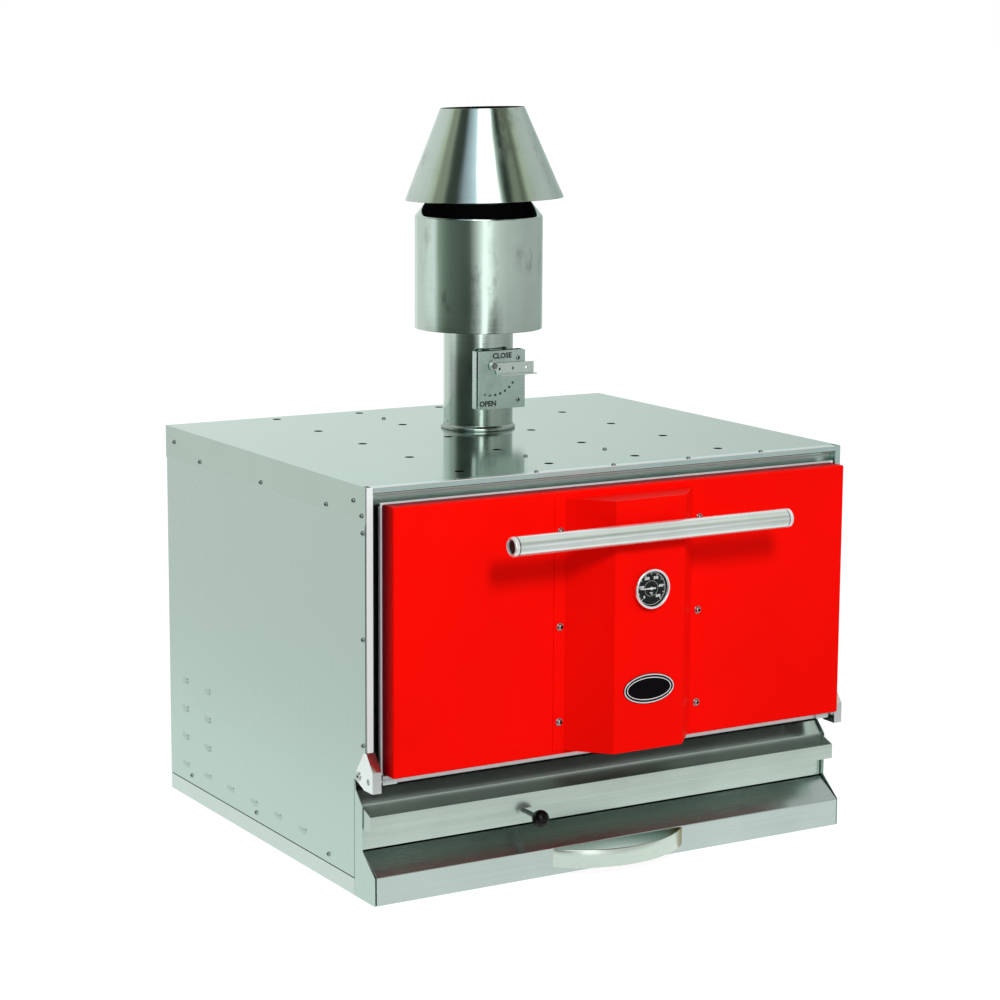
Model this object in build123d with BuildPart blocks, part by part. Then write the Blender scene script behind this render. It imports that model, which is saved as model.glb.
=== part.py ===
from build123d import *
import math
import os

os.makedirs("parts", exist_ok=True)

# Charcoal grill oven, millimetres. X runs left to right as seen from the front, Y runs from the
# front (0) to the back, and Z runs up from the surface it stands on. The door faces -Y.

# Cabinet
cabinet_width = 920.0
cabinet_depth = 770.0
cabinet_height = 670.0
sheet = 1.2
seam = 0.5
face_gap = 0.3
half_width = cabinet_width / 2
side_outer = half_width - sheet
side_inner = side_outer - sheet

# Lower front: the heights of the drawer, the air gap, the gutter and the hinge stack on each other
drawer_face_bottom = 3.5
drawer_face_height = 43.2
drawer_hood_rise = 30.8
drawer_face_top = drawer_face_bottom + drawer_face_height
drawer_hood_z = drawer_face_top + drawer_hood_rise
apron_gap = 2.0
apron_height = 37.0
apron_bottom = drawer_hood_z + apron_gap
gutter_floor = apron_bottom + apron_height
gutter_depth = 37.5
gutter_slope_rise = 18.0
gutter_back_height = 21.0
gutter_fold_z = gutter_floor + gutter_depth
gutter_ledge = gutter_fold_z + gutter_slope_rise
cheek_top = gutter_ledge + gutter_back_height
gutter_lip_height = 25.1
gutter_lip = gutter_floor + gutter_lip_height
hinge_rise = 8.0
hinge_z = cheek_top + hinge_rise

# Lower front: the distances from the front plane
gutter_front = -4.0
gutter_fold_y = 29.6
gutter_slope_run = 17.4
gutter_ledge_run = 13.0
gutter_ledge_front = gutter_fold_y + gutter_slope_run
sill_depth = gutter_ledge_front + gutter_ledge_run
drawer_face = -22.5
drawer_hood_run = 48.5
drawer_hood_y = drawer_face + drawer_hood_run
drawer_flange_run = 52.5
drawer_flange_rear = drawer_face + drawer_flange_run

# Base pan and cheeks
base_height = 28.0
base_lip_height = 32.0
base_floor = 1.5
cheek_depth = gutter_ledge_front
cheek_shoulder_back = 3.0
cheek_shoulder_rise = 6.0
cheek_step_reach = 8.6
cheek_upper_rise = 1.0
cheek_lower_rise = 3.5
toe_setback = 1.5
cheek_shoulder = gutter_ledge + cheek_shoulder_rise
cheek_front = gutter_fold_y - cheek_step_reach
cheek_upper = gutter_fold_z + cheek_upper_rise
cheek_lower = drawer_hood_z + cheek_lower_rise
toe_front = drawer_face + toe_setback
toe_top = drawer_face_top + face_gap

# Top cap
cap_flange = 58.0
header_return = 15.0
vent_hole_dia = 16.0
vent_column_pitch = 169.0
vent_column_count = 4
vent_row_count = 5
vent_first_row = 72.0
vent_rear_margin = 30.0
vent_row_pitch = (cabinet_depth - vent_first_row - vent_rear_margin) / (vent_row_count - 1)

# Front frame
trim_width = 11.0
trim_back = 3.5
header_height = 10.0
rebate_depth = 18.0
trim_mount_depth = 30.0
plate = 2.0
front_plate_drop = 4.0
front_plate_top = cabinet_height - front_plate_drop

# Side louvres
louvre_width = 32.0
louvre_height = 9.0
louvre_rise = 3.5
louvre_pitch_y = 94.0
louvre_pitch_z = 52.0
louvre_rear_margin = 65.0
louvre_base_margin = 32.0
louvre_rows = 4
louvre_columns = 6

# Drip gutter
gutter_sheet = 1.5
gutter_side_gap = 0.6
gutter_half_width = side_inner - gutter_side_gap
apron_side_gap = 1.0

# Door hinge
hinge_y = -6.0
hinge_pin_dia = 10.0
hinge_bore_clearance = 0.05
bracket_thickness = 11.0
bracket_side_gap = 0.3
bracket_inner = side_inner - bracket_side_gap - bracket_thickness
bracket_plate = 3.2
bracket_plate_gap = 0.1
bracket_outer = side_outer + bracket_plate
bracket_nose_gap = 0.5
bracket_rise = 45.0
bracket_drop = 16.5
bracket_nose_rise = 18.0
bracket_top = hinge_z + bracket_rise
bracket_bottom = hinge_z - bracket_drop
bracket_nose_z = hinge_z + bracket_nose_rise
bracket_nose_reach = 15.0
bracket_depth = 52.0
bracket_heel_depth = 14.0
bracket_front = hinge_y - bracket_nose_reach
bracket_rear = hinge_y + bracket_depth
bracket_heel = hinge_y + bracket_heel_depth
hinge_bolt_dia = 8.0
hinge_bolt_back = 32.0
hinge_bolt_rise = 2.0
hinge_bolt_y = hinge_y + hinge_bolt_back
hinge_bolt_z = hinge_z + hinge_bolt_rise
pivot_block_length = 26.0
pivot_block_depth = 7.0

# Door
door_side_gap = 6.8
pan_flange_side = 3.0
pan_flange_half = bracket_inner - door_side_gap
door_half_width = pan_flange_half - pan_flange_side
door_top_gap = 17.0
door_top = cabinet_height - header_height - door_top_gap
door_rise = 9.5
door_bottom = hinge_z + door_rise
skin_depth = 36.0
skin_rear = hinge_y
door_front = skin_rear - skin_depth
skin_sheet = 1.5
pan_flange_drop = 7.0
pan_flange_bottom = hinge_z - pan_flange_drop
pan_depth = 19.0
pan_rear = skin_rear + pan_depth
pan_inset = 3.0
pan_rise = 5.0
pan_bottom = hinge_z + pan_rise
pan_half = door_half_width - pan_inset
pan_top = door_top - 2 * pan_inset
gasket_width = 12.0
gasket_inset = 8.0
gasket_gap = 0.3
gasket_half = pan_half - gasket_inset
gasket_bottom = pan_bottom + gasket_inset
gasket_top = pan_top - gasket_inset
door_wool_gap = 1.0

# Mouth that the gasket seals around
gasket_land_side = 13.5
gasket_land_top = 5.0
gasket_land_bottom = 9.0
mouth_half_width = gasket_half - gasket_width - gasket_land_side
mouth_bottom = gasket_bottom + gasket_width + gasket_land_bottom
mouth_top = gasket_top - gasket_width - gasket_land_top

# Centre cover on the door
cover_face_half = 67.0
cover_slope_run = 56.5
cover_flange_width = 20.0
cover_foot_half = cover_face_half + cover_slope_run
cover_flange_half = cover_foot_half + cover_flange_width
cover_depth = 63.5
cover_front = door_front - cover_depth
cover_end_gap = 6.5
cover_top_gap = 10.5
cover_bottom = door_bottom + cover_end_gap
cover_top = door_top - cover_top_gap
cover_screw_edge = 9.5
cover_screw_x = cover_flange_half - cover_screw_edge
cover_screw_end = 50.0
cover_screw_count = 3
cover_washer_dia = 14.0
cover_washer_height = 1.2
cover_head_dia = 11.0
cover_head_height = 3.8
screw_head_height = 3.0

# Door handle
handle_dia = 32.0
handle_wall = 2.0
handle_half_length = 257.5
handle_cap_length = 9.5
handle_shift = -5.0
handle_plug_length = 15.0
handle_cap_rim = 3.5
handle_cap_recess = 4.0
handle_drop = 52.5
handle_z = cover_top - handle_drop
handle_bolt_dia = 8.0
handle_bolt_x = 45.0

# Thermometer and plaque
thermometer_drop = 95.0
thermometer_z = handle_z - thermometer_drop
thermometer_dia = 66.0
thermometer_body_dia = 58.0
thermometer_proud = 9.0
thermometer_body_depth = 22.0
thermometer_wall = 1.5
bezel_ring = 4.0
dial_thickness = 0.8
dial_recess = 3.5
lens_thickness = 1.5
lens_recess = 1.0
pointer_gap = 1.0
pointer_length = 22.0
pointer_tail = 8.0
pointer_hub_dia = 5.0
pointer_pin_dia = 2.0
pointer_pin_clearance = 0.05
stem_dia = 6.0
stem_reach = 21.0
stem_tip_y = pan_rear + stem_reach
stem_clearance = 0.3
plaque_rise = 102.0
plaque_z = cover_bottom + plaque_rise
plaque_half_length = 49.0
plaque_half_height = 25.0
plaque_thickness = 2.0

# Cooking chamber
chamber_wall = 4.0
chamber_rear_space = 70.0
chamber_rear = cabinet_depth - chamber_rear_space
roof_rise = 12.0
chamber_roof = mouth_top + roof_rise
wall_front = rebate_depth + plate
ash_front_gap = 3.0
ash_front = sill_depth + ash_front_gap
ledge_rise = 7.0
ledge_top = cheek_top + ledge_rise
ledge_width = 45.0
brick_thickness = 28.0
brick_height = 120.0
brick_joint = 1.0
side_brick_count = 4
back_brick_count = 5
grate_height = 22.0
grate_side_gap = 3.0
grate_half_width = mouth_half_width - brick_thickness - grate_side_gap
grate_bar = 12.0
grate_pitch = 31.0
grate_front_gap = 5.0
grate_rear_gap = 36.0
grate_front = ash_front + grate_front_gap
grate_rear = chamber_rear - grate_rear_gap
rail_width = 18.0
rail_height = 12.0
rail_sheet = 2.5
rail_first_rise = 180.0
rail_pitch = 70.0
rail_count = 3
rail_front_gap = 40.0
rail_rear_gap = 10.0
rail_front = wall_front + rail_front_gap
rail_rear = chamber_rear - rail_rear_gap
grill_rod_dia = 6.0
grill_frame_dia = 9.0
grill_rod_count = 31
grill_side_gap = 5.0
grill_end_gap = 10.0
grill_front = rail_front + grill_end_gap
grill_rear = rail_rear - grill_end_gap
wool_thickness = 25.0
wool_gap = 1.0

# Ash drawer
drawer_side_gap = 2.1
drawer_front_half = side_inner - drawer_side_gap
drawer_overlap = 30.0
drawer_half_width = mouth_half_width + drawer_overlap
drawer_sheet = 1.5
drawer_wall = 1.2
drawer_pan_bottom = drawer_face_bottom + drawer_sheet
drawer_pan_height = 59.0
drawer_pan_top = drawer_pan_bottom + drawer_pan_height
drawer_pan_setback = 34.5
drawer_rear_space = 60.0
ash_wall_gap = 2.0
drawer_pan_front = drawer_face + drawer_pan_setback
drawer_pan_rear = chamber_rear - drawer_rear_space
ash_wall_bottom = drawer_pan_top + ash_wall_gap
runner_width = 25.0
runner_guide = 3.0
runner_height = 36.0
runner_front_gap = 2.0
runner_overrun = 12.0
runner_front = drawer_flange_rear + runner_front_gap
runner_rear = drawer_pan_rear + runner_overrun
bow_half = 128.0
bow_rise = 50.0
bow_lift = 10.5
bow_bottom = drawer_face_bottom + bow_lift
bow_height = 30.5
bow_thickness = 3.0

# Air control
air_x = -158.0
air_drop = 12.5
air_z = gutter_floor - air_drop
air_rod_dia = 8.0
air_clearance = 0.2
air_bush_dia = 16.0
air_bush_length = 6.0
air_inlet_dia = 56.0
air_disc_dia = 64.0
air_disc_thickness = 2.0
air_travel = 40.0
air_stop_gap = 1.9
air_bulkhead_y = gutter_fold_y + gutter_sheet + air_travel + air_disc_thickness + air_stop_gap
knob_dia = 28.5
knob_reach = 27.0
knob_y = gutter_front - knob_reach

# Flue
flue_x = 22.0
flue_y = 487.0
flue_radius = 62.0
flue_wall = 1.2
flue_clearance = 0.3
flue_bottom = chamber_roof + seam
collar_radius = 67.0
collar_height = 9.0
drum_rise = 178.7
drum_radius = 113.5
drum_recess = 4.5
drum_height = 197.9
drum_cone_height = 25.4
drum_throat_radius = 93.0
drum_bottom = cabinet_height + drum_rise
drum_shoulder = drum_bottom + drum_height
drum_top = drum_shoulder + drum_cone_height
drum_floor = drum_bottom + drum_recess
flue_overrun = 46.8
flue_top = drum_floor + flue_overrun
baffle_gap = 60.0
baffle_radius = 75.0
baffle_z = flue_top + baffle_gap
baffle_leg_radius = 68.0
baffle_leg_width = 8.0
hat_gap = 5.0
hat_height = 159.0
hat_base_radius = 140.5
hat_top_radius = 74.5
hat_bottom = drum_top + hat_gap
hat_top = hat_bottom + hat_height
hat_shift = 9.5
hat_shift_turn = math.radians(-31)
hat_shift_x = hat_shift * math.cos(hat_shift_turn)
hat_shift_y = hat_shift * math.sin(hat_shift_turn)
hat_lean = 1.5
strut_thickness = 3.0
strut_count = 3
strut_foot = 16.0
strut_rise = 23.0
strut_end_rise = 8.0

# Flue damper
dial_half_width = 47.6
dial_rise = 43.0
dial_height = 102.5
dial_bottom = cabinet_height + dial_rise
dial_top = dial_bottom + dial_height
saddle_depth = 13.0
dial_gap = 6.6
bracket_web_y = flue_y - flue_radius - saddle_depth
dial_front = bracket_web_y - dial_gap - sheet
dial_spacer_dia = 9.0
dial_screw_x = 33.0
dial_screw_inset = 14.0
dial_screw_head_height = 2.0
bracket_return = 13.0
saddle_half_width = 12.0
damper_pivot_x = -19.3
damper_drop = 25.2
damper_z = dial_top - damper_drop
damper_shaft_dia = 8.0
damper_disc_radius = 55.0
damper_disc_thickness = 2.0
damper_sleeve_dia = 13.0
damper_fit = 0.05
shaft_rear_overrun = 7.0
lever_gap = 2.7
lever_thickness = 2.0
lever_front = dial_front - lever_gap - lever_thickness
lever_reach = 82.0
lever_top = 4.0
lever_bottom = 17.5
lever_flange = 12.0
lever_neck_radius = 8.0
lever_hole_dia = 5.0
lever_hole_z = -6.3
lever_hole_first = 12.4
lever_hole_pitch = 27.2
lever_hole_count = 3
lever_collar_dia = 12.0
lever_nut_dia = 13.0
lever_nut_height = 4.0
index_hole_dia = 4.5
index_radius = 53.0
index_first_angle = -106.0
index_last_angle = -38.0
index_count = 7

# Cabinet screws
side_head_dia = 8.0
side_head_height = 2.5
cap_screw_drop = 46.5
cap_screw_y = (18.0, 139.0, 379.0, 624.0)
cap_corner_drop = 26.0
cap_corner_front = 45.0
cap_corner_rear = 37.0
front_screw_y = 16.5
front_screw_drops = (415.5, 244.0, 74.0)
base_screw_rise = 16.0
base_screw_y = (139.0, 411.0, 679.0)
header_screw_pitch = 148.0
header_screw_count = 5
roof_screw_x = 78.5
roof_screw_y = (156.0, 656.0)


# Base pan: floor, side and rear upstands, and the inner lip that the side panels are screwed to
with BuildPart() as base_pan:
    with BuildSketch(Plane.XY) as floor_outline:
        with BuildLine():
            Polyline(
                (-side_outer, cheek_depth + seam),
                (-side_outer, cabinet_depth - sheet),
                (side_outer, cabinet_depth - sheet),
                (side_outer, cheek_depth + seam),
                (side_inner - seam, cheek_depth + seam),
                (side_inner - seam, toe_front + seam),
                (-side_inner + seam, toe_front + seam),
                (-side_inner + seam, cheek_depth + seam),
                close=True,
            )
        make_face()
    extrude(amount=base_floor)
    upstand_length = cabinet_depth - sheet - cheek_depth - seam
    upstand_middle = cheek_depth + seam + upstand_length / 2
    with BuildSketch(Plane.XY.offset(base_floor)):
        with Locations((-side_outer + sheet / 2, upstand_middle), (side_outer - sheet / 2, upstand_middle)):
            Rectangle(sheet, upstand_length)
        with Locations((0, cabinet_depth - 1.5 * sheet)):
            Rectangle(2 * side_outer, sheet)
    extrude(amount=base_height - base_floor)
    with BuildSketch(Plane.XY.offset(base_height - sheet)):
        with Locations((-side_inner, upstand_middle), (side_inner, upstand_middle)):
            Rectangle(2 * sheet, upstand_length)
    extrude(amount=sheet)
    rear_lip_y = cabinet_depth - 2 * sheet
    with BuildSketch(Plane.XY.offset(base_height - sheet)):
        with Locations((0, rear_lip_y - sheet / 2)):
            Rectangle(2 * side_outer, sheet)
    extrude(amount=sheet)
    with BuildSketch(Plane.XY.offset(base_height)):
        with Locations(
            (-side_inner + sheet / 2 + seam / 4, upstand_middle - 2 * sheet),
            (side_inner - sheet / 2 - seam / 4, upstand_middle - 2 * sheet),
        ):
            Rectangle(sheet - seam / 2, upstand_length - 4 * sheet)
        with Locations((0, rear_lip_y - sheet / 2 - seam / 4)):
            Rectangle(2 * (side_inner - 2 * sheet), sheet - seam / 2)
    extrude(amount=base_lip_height)
base_pan.part.label = "base_pan"
export_step(base_pan.part, "parts/base_pan.step")

# Side panels with their pressed louvres, an L of two rear columns and one low row
louvre_places = [
    (
        cabinet_depth - louvre_rear_margin - column * louvre_pitch_y,
        base_height + louvre_base_margin + row * louvre_pitch_z,
    )
    for column in range(louvre_columns)
    for row in range(louvre_rows)
    if column < 2 or row == 0
]
for side, sign in (("left", -1), ("right", 1)):
    with BuildPart() as side_panel:
        with BuildSketch(Plane.YZ.offset(sign * side_inner)):
            with BuildLine():
                Polyline(
                    (trim_back + seam, cheek_top + seam),
                    (trim_back + seam, cabinet_height - sheet - seam),
                    (cabinet_depth - sheet, cabinet_height - sheet - seam),
                    (cabinet_depth - sheet, base_height + seam),
                    (cheek_depth + seam, base_height + seam),
                    (cheek_depth + seam, cheek_top + seam),
                    close=True,
                )
            make_face()
            with Locations(*louvre_places):
                with Locations((0, -louvre_height / 4)):
                    Rectangle(louvre_width - 2 * sheet, louvre_height / 2, mode=Mode.SUBTRACT)
            with Locations((hinge_bolt_y, hinge_bolt_z)):
                Circle(hinge_bolt_dia / 2, mode=Mode.SUBTRACT)
        extrude(amount=sign * sheet)
        with BuildSketch(Plane.YZ.offset(sign * side_outer)):
            with Locations(*louvre_places):
                Rectangle(louvre_width, louvre_height)
                with Locations((0, -sheet / 2)):
                    Rectangle(louvre_width - 2 * sheet, louvre_height - sheet, mode=Mode.SUBTRACT)
        extrude(amount=sign * louvre_rise)
        with BuildSketch(Plane.YZ.offset(sign * (side_outer + louvre_rise - sheet))):
            with Locations(*louvre_places):
                Rectangle(louvre_width, louvre_height)
        extrude(amount=sign * sheet)
    side_panel.part.label = f"{side}_side_panel"
    export_step(side_panel.part, f"parts/{side}_side_panel.step")

    # Cheek that closes the stepped lower front at each side
    with BuildPart() as cheek:
        with BuildSketch(Plane.YZ.offset(sign * side_inner)):
            with BuildLine():
                Polyline(
                    (cheek_depth, 0),
                    (cheek_depth, cheek_top),
                    (cheek_depth - cheek_shoulder_back, cheek_shoulder),
                    (cheek_front, cheek_upper),
                    (cheek_front, cheek_lower),
                    (toe_front + seam, toe_top),
                    (toe_front, 0),
                    close=True,
                )
            make_face()
        extrude(amount=sign * sheet)
    cheek.part.label = f"{side}_cheek"
    export_step(cheek.part, f"parts/{side}_cheek.step")

    # Side trim of the front frame: front strip, corner lip, mounting flange and rebate wall
    with BuildPart() as side_trim:
        with BuildSketch(Plane.XY.offset(bracket_top + seam)):
            with BuildLine():
                Polyline(
                    (sign * half_width, 0),
                    (sign * half_width, trim_back),
                    (sign * (side_outer + seam / 2), trim_back),
                    (sign * (side_outer + seam / 2), sheet),
                    (sign * (side_inner - seam / 2), sheet),
                    (sign * (side_inner - seam / 2), trim_mount_depth),
                    (sign * (side_inner - sheet), trim_mount_depth),
                    (sign * (side_inner - sheet), sheet),
                    (sign * (half_width - trim_width + sheet), sheet),
                    (sign * (half_width - trim_width + sheet), rebate_depth),
                    (sign * (half_width - trim_width), rebate_depth),
                    (sign * (half_width - trim_width), 0),
                    close=True,
                )
            make_face()
        extrude(amount=cabinet_height - bracket_top - seam)
        # The top corner is cut back to let the top sheet lie over it
        with BuildSketch(Plane.XY.offset(cabinet_height - sheet)):
            with Locations((sign * half_width, header_return + trim_mount_depth)):
                Rectangle(4 * trim_width, 2 * trim_mount_depth)
        extrude(amount=sheet, mode=Mode.SUBTRACT)
    side_trim.part.label = f"{side}_trim"
    export_step(side_trim.part, f"parts/{side}_trim.step")

    # Hinge bracket: a thick plate that stands out past the frame at its lower end
    with BuildPart() as hinge_bracket:
        with BuildSketch(Plane.YZ.offset(sign * bracket_inner)):
            with BuildLine():
                Polyline(
                    (0, bracket_top),
                    (bracket_rear, bracket_top),
                    (bracket_rear, hinge_bolt_z - hinge_bolt_dia),
                    (bracket_heel, bracket_bottom),
                    (bracket_front, bracket_bottom),
                    (bracket_front, bracket_nose_z),
                    close=True,
                )
            make_face()
            with Locations((hinge_y, hinge_z)):
                Circle(hinge_pin_dia / 2 + hinge_bore_clearance, mode=Mode.SUBTRACT)
            with Locations((hinge_bolt_y, hinge_bolt_z)):
                Circle(hinge_bolt_dia / 2, mode=Mode.SUBTRACT)
        extrude(amount=sign * bracket_thickness)
        # Nose as wide as the outer plate, ahead of the frame
        with BuildSketch(Plane.YZ.offset(sign * bracket_inner)):
            with BuildLine():
                Polyline(
                    (-bracket_nose_gap, bracket_top - bracket_nose_gap),
                    (-bracket_nose_gap, bracket_bottom),
                    (bracket_front, bracket_bottom),
                    (bracket_front, bracket_nose_z),
                    close=True,
                )
            make_face()
            with Locations((hinge_y, hinge_z)):
                Circle(hinge_pin_dia / 2 + hinge_bore_clearance, mode=Mode.SUBTRACT)
        extrude(amount=sign * (bracket_outer - bracket_inner))
        # Outer plate over the side panel
        with BuildSketch(Plane.YZ.offset(sign * (side_outer + bracket_plate_gap))):
            with BuildLine():
                Polyline(
                    (-bracket_nose_gap, bracket_top - bracket_nose_gap),
                    (bracket_heel, bracket_top - bracket_nose_gap),
                    (hinge_bolt_y + hinge_bolt_dia, hinge_bolt_z + hinge_bolt_dia),
                    (hinge_bolt_y + hinge_bolt_dia, hinge_bolt_z - hinge_bolt_dia),
                    (bracket_heel, bracket_bottom),
                    (-bracket_nose_gap, bracket_bottom),
                    close=True,
                )
            make_face()
            with Locations((hinge_bolt_y, hinge_bolt_z)):
                Circle(hinge_bolt_dia / 2, mode=Mode.SUBTRACT)
        extrude(amount=sign * (bracket_plate - bracket_plate_gap))
    hinge_bracket.part.label = f"{side}_hinge_bracket"
    export_step(hinge_bracket.part, f"parts/{side}_hinge_bracket.step")

# Bolts that hold the hinge brackets, with a collar under each head
with BuildPart() as hinge_bolts:
    for sign in (-1, 1):
        with BuildSketch(Plane.YZ.offset(sign * bracket_inner)):
            with Locations((hinge_bolt_y, hinge_bolt_z)):
                Circle(hinge_bolt_dia / 2)
        extrude(amount=sign * (bracket_outer - bracket_inner))
        with BuildSketch(Plane.YZ.offset(sign * bracket_outer)):
            with Locations((hinge_bolt_y, hinge_bolt_z)):
                Circle(hinge_bolt_dia)
        extrude(amount=sign * screw_head_height / 2)
        with BuildSketch(Plane.YZ.offset(sign * (bracket_outer + screw_head_height / 2))):
            with Locations((hinge_bolt_y, hinge_bolt_z)):
                RegularPolygon(radius=hinge_bolt_dia * 0.7, side_count=6)
        extrude(amount=sign * screw_head_height / 2)
hinge_bolts.part.label = "hinge_bolts"
export_step(hinge_bolts.part, "parts/hinge_bolts.step")

# Rear panel
with BuildPart() as rear_panel:
    with BuildSketch(Plane.XZ.offset(-(cabinet_depth - sheet))):
        with Locations((0, (base_height + cabinet_height - sheet) / 2)):
            Rectangle(2 * (side_inner - seam), cabinet_height - sheet - base_height - 2 * seam)
    extrude(amount=sheet)
rear_panel.part.label = "rear_panel"
export_step(rear_panel.part, "parts/rear_panel.step")

# Top cap: perforated top, down-turned side and rear flanges, and the flue hole
with BuildPart() as top_cap:
    with BuildSketch(Plane.XY.offset(cabinet_height - sheet)):
        with Locations((0, (header_return + seam + cabinet_depth) / 2)):
            Rectangle(cabinet_width, cabinet_depth - header_return - seam)
        with Locations((0, vent_first_row + (vent_row_count - 1) * vent_row_pitch / 2)):
            with GridLocations(vent_column_pitch, vent_row_pitch, vent_column_count, vent_row_count):
                Circle(vent_hole_dia / 2, mode=Mode.SUBTRACT)
        with Locations((flue_x, flue_y)):
            Circle(flue_radius + flue_clearance, mode=Mode.SUBTRACT)
    extrude(amount=sheet)
    flange_length = cabinet_depth - trim_back - seam
    with BuildSketch(Plane.XY.offset(cabinet_height - cap_flange)):
        for sign in (-1, 1):
            with Locations((sign * (half_width - sheet / 2), cabinet_depth - flange_length / 2)):
                Rectangle(sheet, flange_length)
        with Locations((0, cabinet_depth - sheet / 2)):
            Rectangle(cabinet_width, sheet)
    extrude(amount=cap_flange - sheet)
    with BuildSketch(Plane.XY.offset(cabinet_height - sheet)):
        for sign in (-1, 1):
            with Locations((sign * (half_width - sheet / 2), cabinet_depth - flange_length / 2)):
                Rectangle(sheet, flange_length)
    extrude(amount=sheet)
top_cap.part.label = "top_cap"
export_step(top_cap.part, "parts/top_cap.step")

# Header of the front frame, a channel between the side trims
with BuildPart() as top_trim:
    with BuildSketch(Plane.YZ.offset(-(half_width - trim_width))):
        with BuildLine():
            Polyline(
                (0, cabinet_height),
                (header_return, cabinet_height),
                (header_return, cabinet_height - sheet),
                (sheet, cabinet_height - sheet),
                (sheet, cabinet_height - header_height + sheet),
                (rebate_depth, cabinet_height - header_height + sheet),
                (rebate_depth, cabinet_height - header_height),
                (0, cabinet_height - header_height),
                close=True,
            )
        make_face()
    extrude(amount=2 * (half_width - trim_width))
top_trim.part.label = "top_trim"
export_step(top_trim.part, "parts/top_trim.step")

# Front plate with the mouth that the door closes, and its sill flange
front_plate_half = side_inner - 1.5 * sheet
with BuildPart() as front_plate:
    with BuildSketch(Plane.XZ.offset(-rebate_depth)):
        with Locations((0, (cheek_top + seam + front_plate_top) / 2)):
            Rectangle(2 * front_plate_half, front_plate_top - cheek_top - seam)
        with Locations((0, (mouth_bottom + mouth_top) / 2)):
            Rectangle(2 * mouth_half_width, mouth_top - mouth_bottom, mode=Mode.SUBTRACT)
        for sign in (-1, 1):
            with Locations((sign * half_width, (cheek_top + bracket_top + seam) / 2)):
                Rectangle(
                    2 * (half_width - bracket_inner + seam),
                    bracket_top + seam - cheek_top,
                    mode=Mode.SUBTRACT,
                )
    extrude(amount=-plate)
    with BuildSketch(Plane.YZ.offset(-mouth_half_width)):
        with Locations(((rebate_depth + plate + sill_depth) / 2, cheek_top + seam + plate / 2)):
            Rectangle(sill_depth - rebate_depth - plate, plate)
    extrude(amount=2 * mouth_half_width)
front_plate.part.label = "front_plate"
export_step(front_plate.part, "parts/front_plate.step")

# Drip gutter under the door: ledge, slope, trough, lip and closed ends
with BuildPart() as drip_gutter:
    with BuildSketch(Plane.YZ.offset(-gutter_half_width)):
        with BuildLine():
            gutter_path = Polyline(
                (sill_depth, cheek_top),
                (sill_depth, gutter_ledge),
                (gutter_ledge_front, gutter_ledge),
                (gutter_fold_y, gutter_fold_z),
                (gutter_fold_y, gutter_floor),
                (gutter_front, gutter_floor),
                (gutter_front, gutter_lip),
            )
            offset(gutter_path, amount=gutter_sheet, side=Side.RIGHT, closed=True)
        make_face()
    extrude(amount=2 * gutter_half_width)
    with BuildSketch(Plane.YZ.offset(-gutter_half_width)) as gutter_end:
        with BuildLine():
            Polyline(
                (gutter_front, gutter_floor),
                (gutter_fold_y, gutter_floor),
                (gutter_fold_y, gutter_fold_z),
                (gutter_front, gutter_lip),
                close=True,
            )
        make_face()
    extrude(amount=gutter_sheet)
    extrude(gutter_end.sketch.moved(Location((2 * gutter_half_width, 0, 0))), amount=-gutter_sheet)
drip_gutter.part.label = "drip_gutter"
export_step(drip_gutter.part, "parts/drip_gutter.step")

# Apron below the gutter, with the hole that the air control's rod slides in
apron_y = gutter_fold_y + 0.4
with BuildPart() as apron:
    with BuildSketch(Plane.XZ.offset(-apron_y)):
        with Locations((0, (apron_bottom + gutter_floor) / 2)):
            Rectangle(2 * (gutter_half_width - apron_side_gap), gutter_floor - apron_bottom)
        with Locations((air_x, air_z)):
            Circle(air_rod_dia / 2 + air_clearance, mode=Mode.SUBTRACT)
    extrude(amount=-gutter_sheet)
    with BuildSketch(Plane.XZ.offset(-apron_y)):
        with Locations((air_x, air_z)):
            Circle(air_bush_dia / 2)
            Circle(air_rod_dia / 2 + air_clearance, mode=Mode.SUBTRACT)
    extrude(amount=air_bush_length)
apron.part.label = "apron"
export_step(apron.part, "parts/apron.step")

# Cooking chamber walls, each with an inward ledge for the grate and the bricks
for side, sign in (("left", -1), ("right", 1)):
    with BuildPart() as chamber_side:
        with BuildSketch(Plane.YZ.offset(sign * mouth_half_width)):
            with BuildLine():
                Polyline(
                    (wall_front, cheek_top + seam),
                    (wall_front, chamber_roof),
                    (chamber_rear, chamber_roof),
                    (chamber_rear, ash_wall_bottom),
                    (ash_front, ash_wall_bottom),
                    (ash_front, cheek_top + seam),
                    close=True,
                )
            make_face()
        extrude(amount=sign * chamber_wall)
        with BuildSketch(Plane.XY.offset(ledge_top - chamber_wall)):
            with Locations((sign * (mouth_half_width - ledge_width / 2), (ash_front + chamber_rear) / 2)):
                Rectangle(ledge_width, chamber_rear - ash_front)
        extrude(amount=chamber_wall)
    chamber_side.part.label = f"chamber_{side}"
    export_step(chamber_side.part, f"parts/chamber_{side}.step")

with BuildPart() as chamber_back:
    with BuildSketch(Plane.XZ.offset(-chamber_rear)):
        with Locations((0, (ash_wall_bottom + chamber_roof) / 2)):
            Rectangle(2 * (mouth_half_width + chamber_wall), chamber_roof - ash_wall_bottom)
    extrude(amount=-chamber_wall)
    with BuildSketch(Plane.XY.offset(ledge_top - chamber_wall)):
        with Locations((0, chamber_rear - ledge_width / 2)):
            Rectangle(2 * (mouth_half_width - ledge_width - seam), ledge_width)
    extrude(amount=chamber_wall)
chamber_back.part.label = "chamber_back"
export_step(chamber_back.part, "parts/chamber_back.step")

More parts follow.
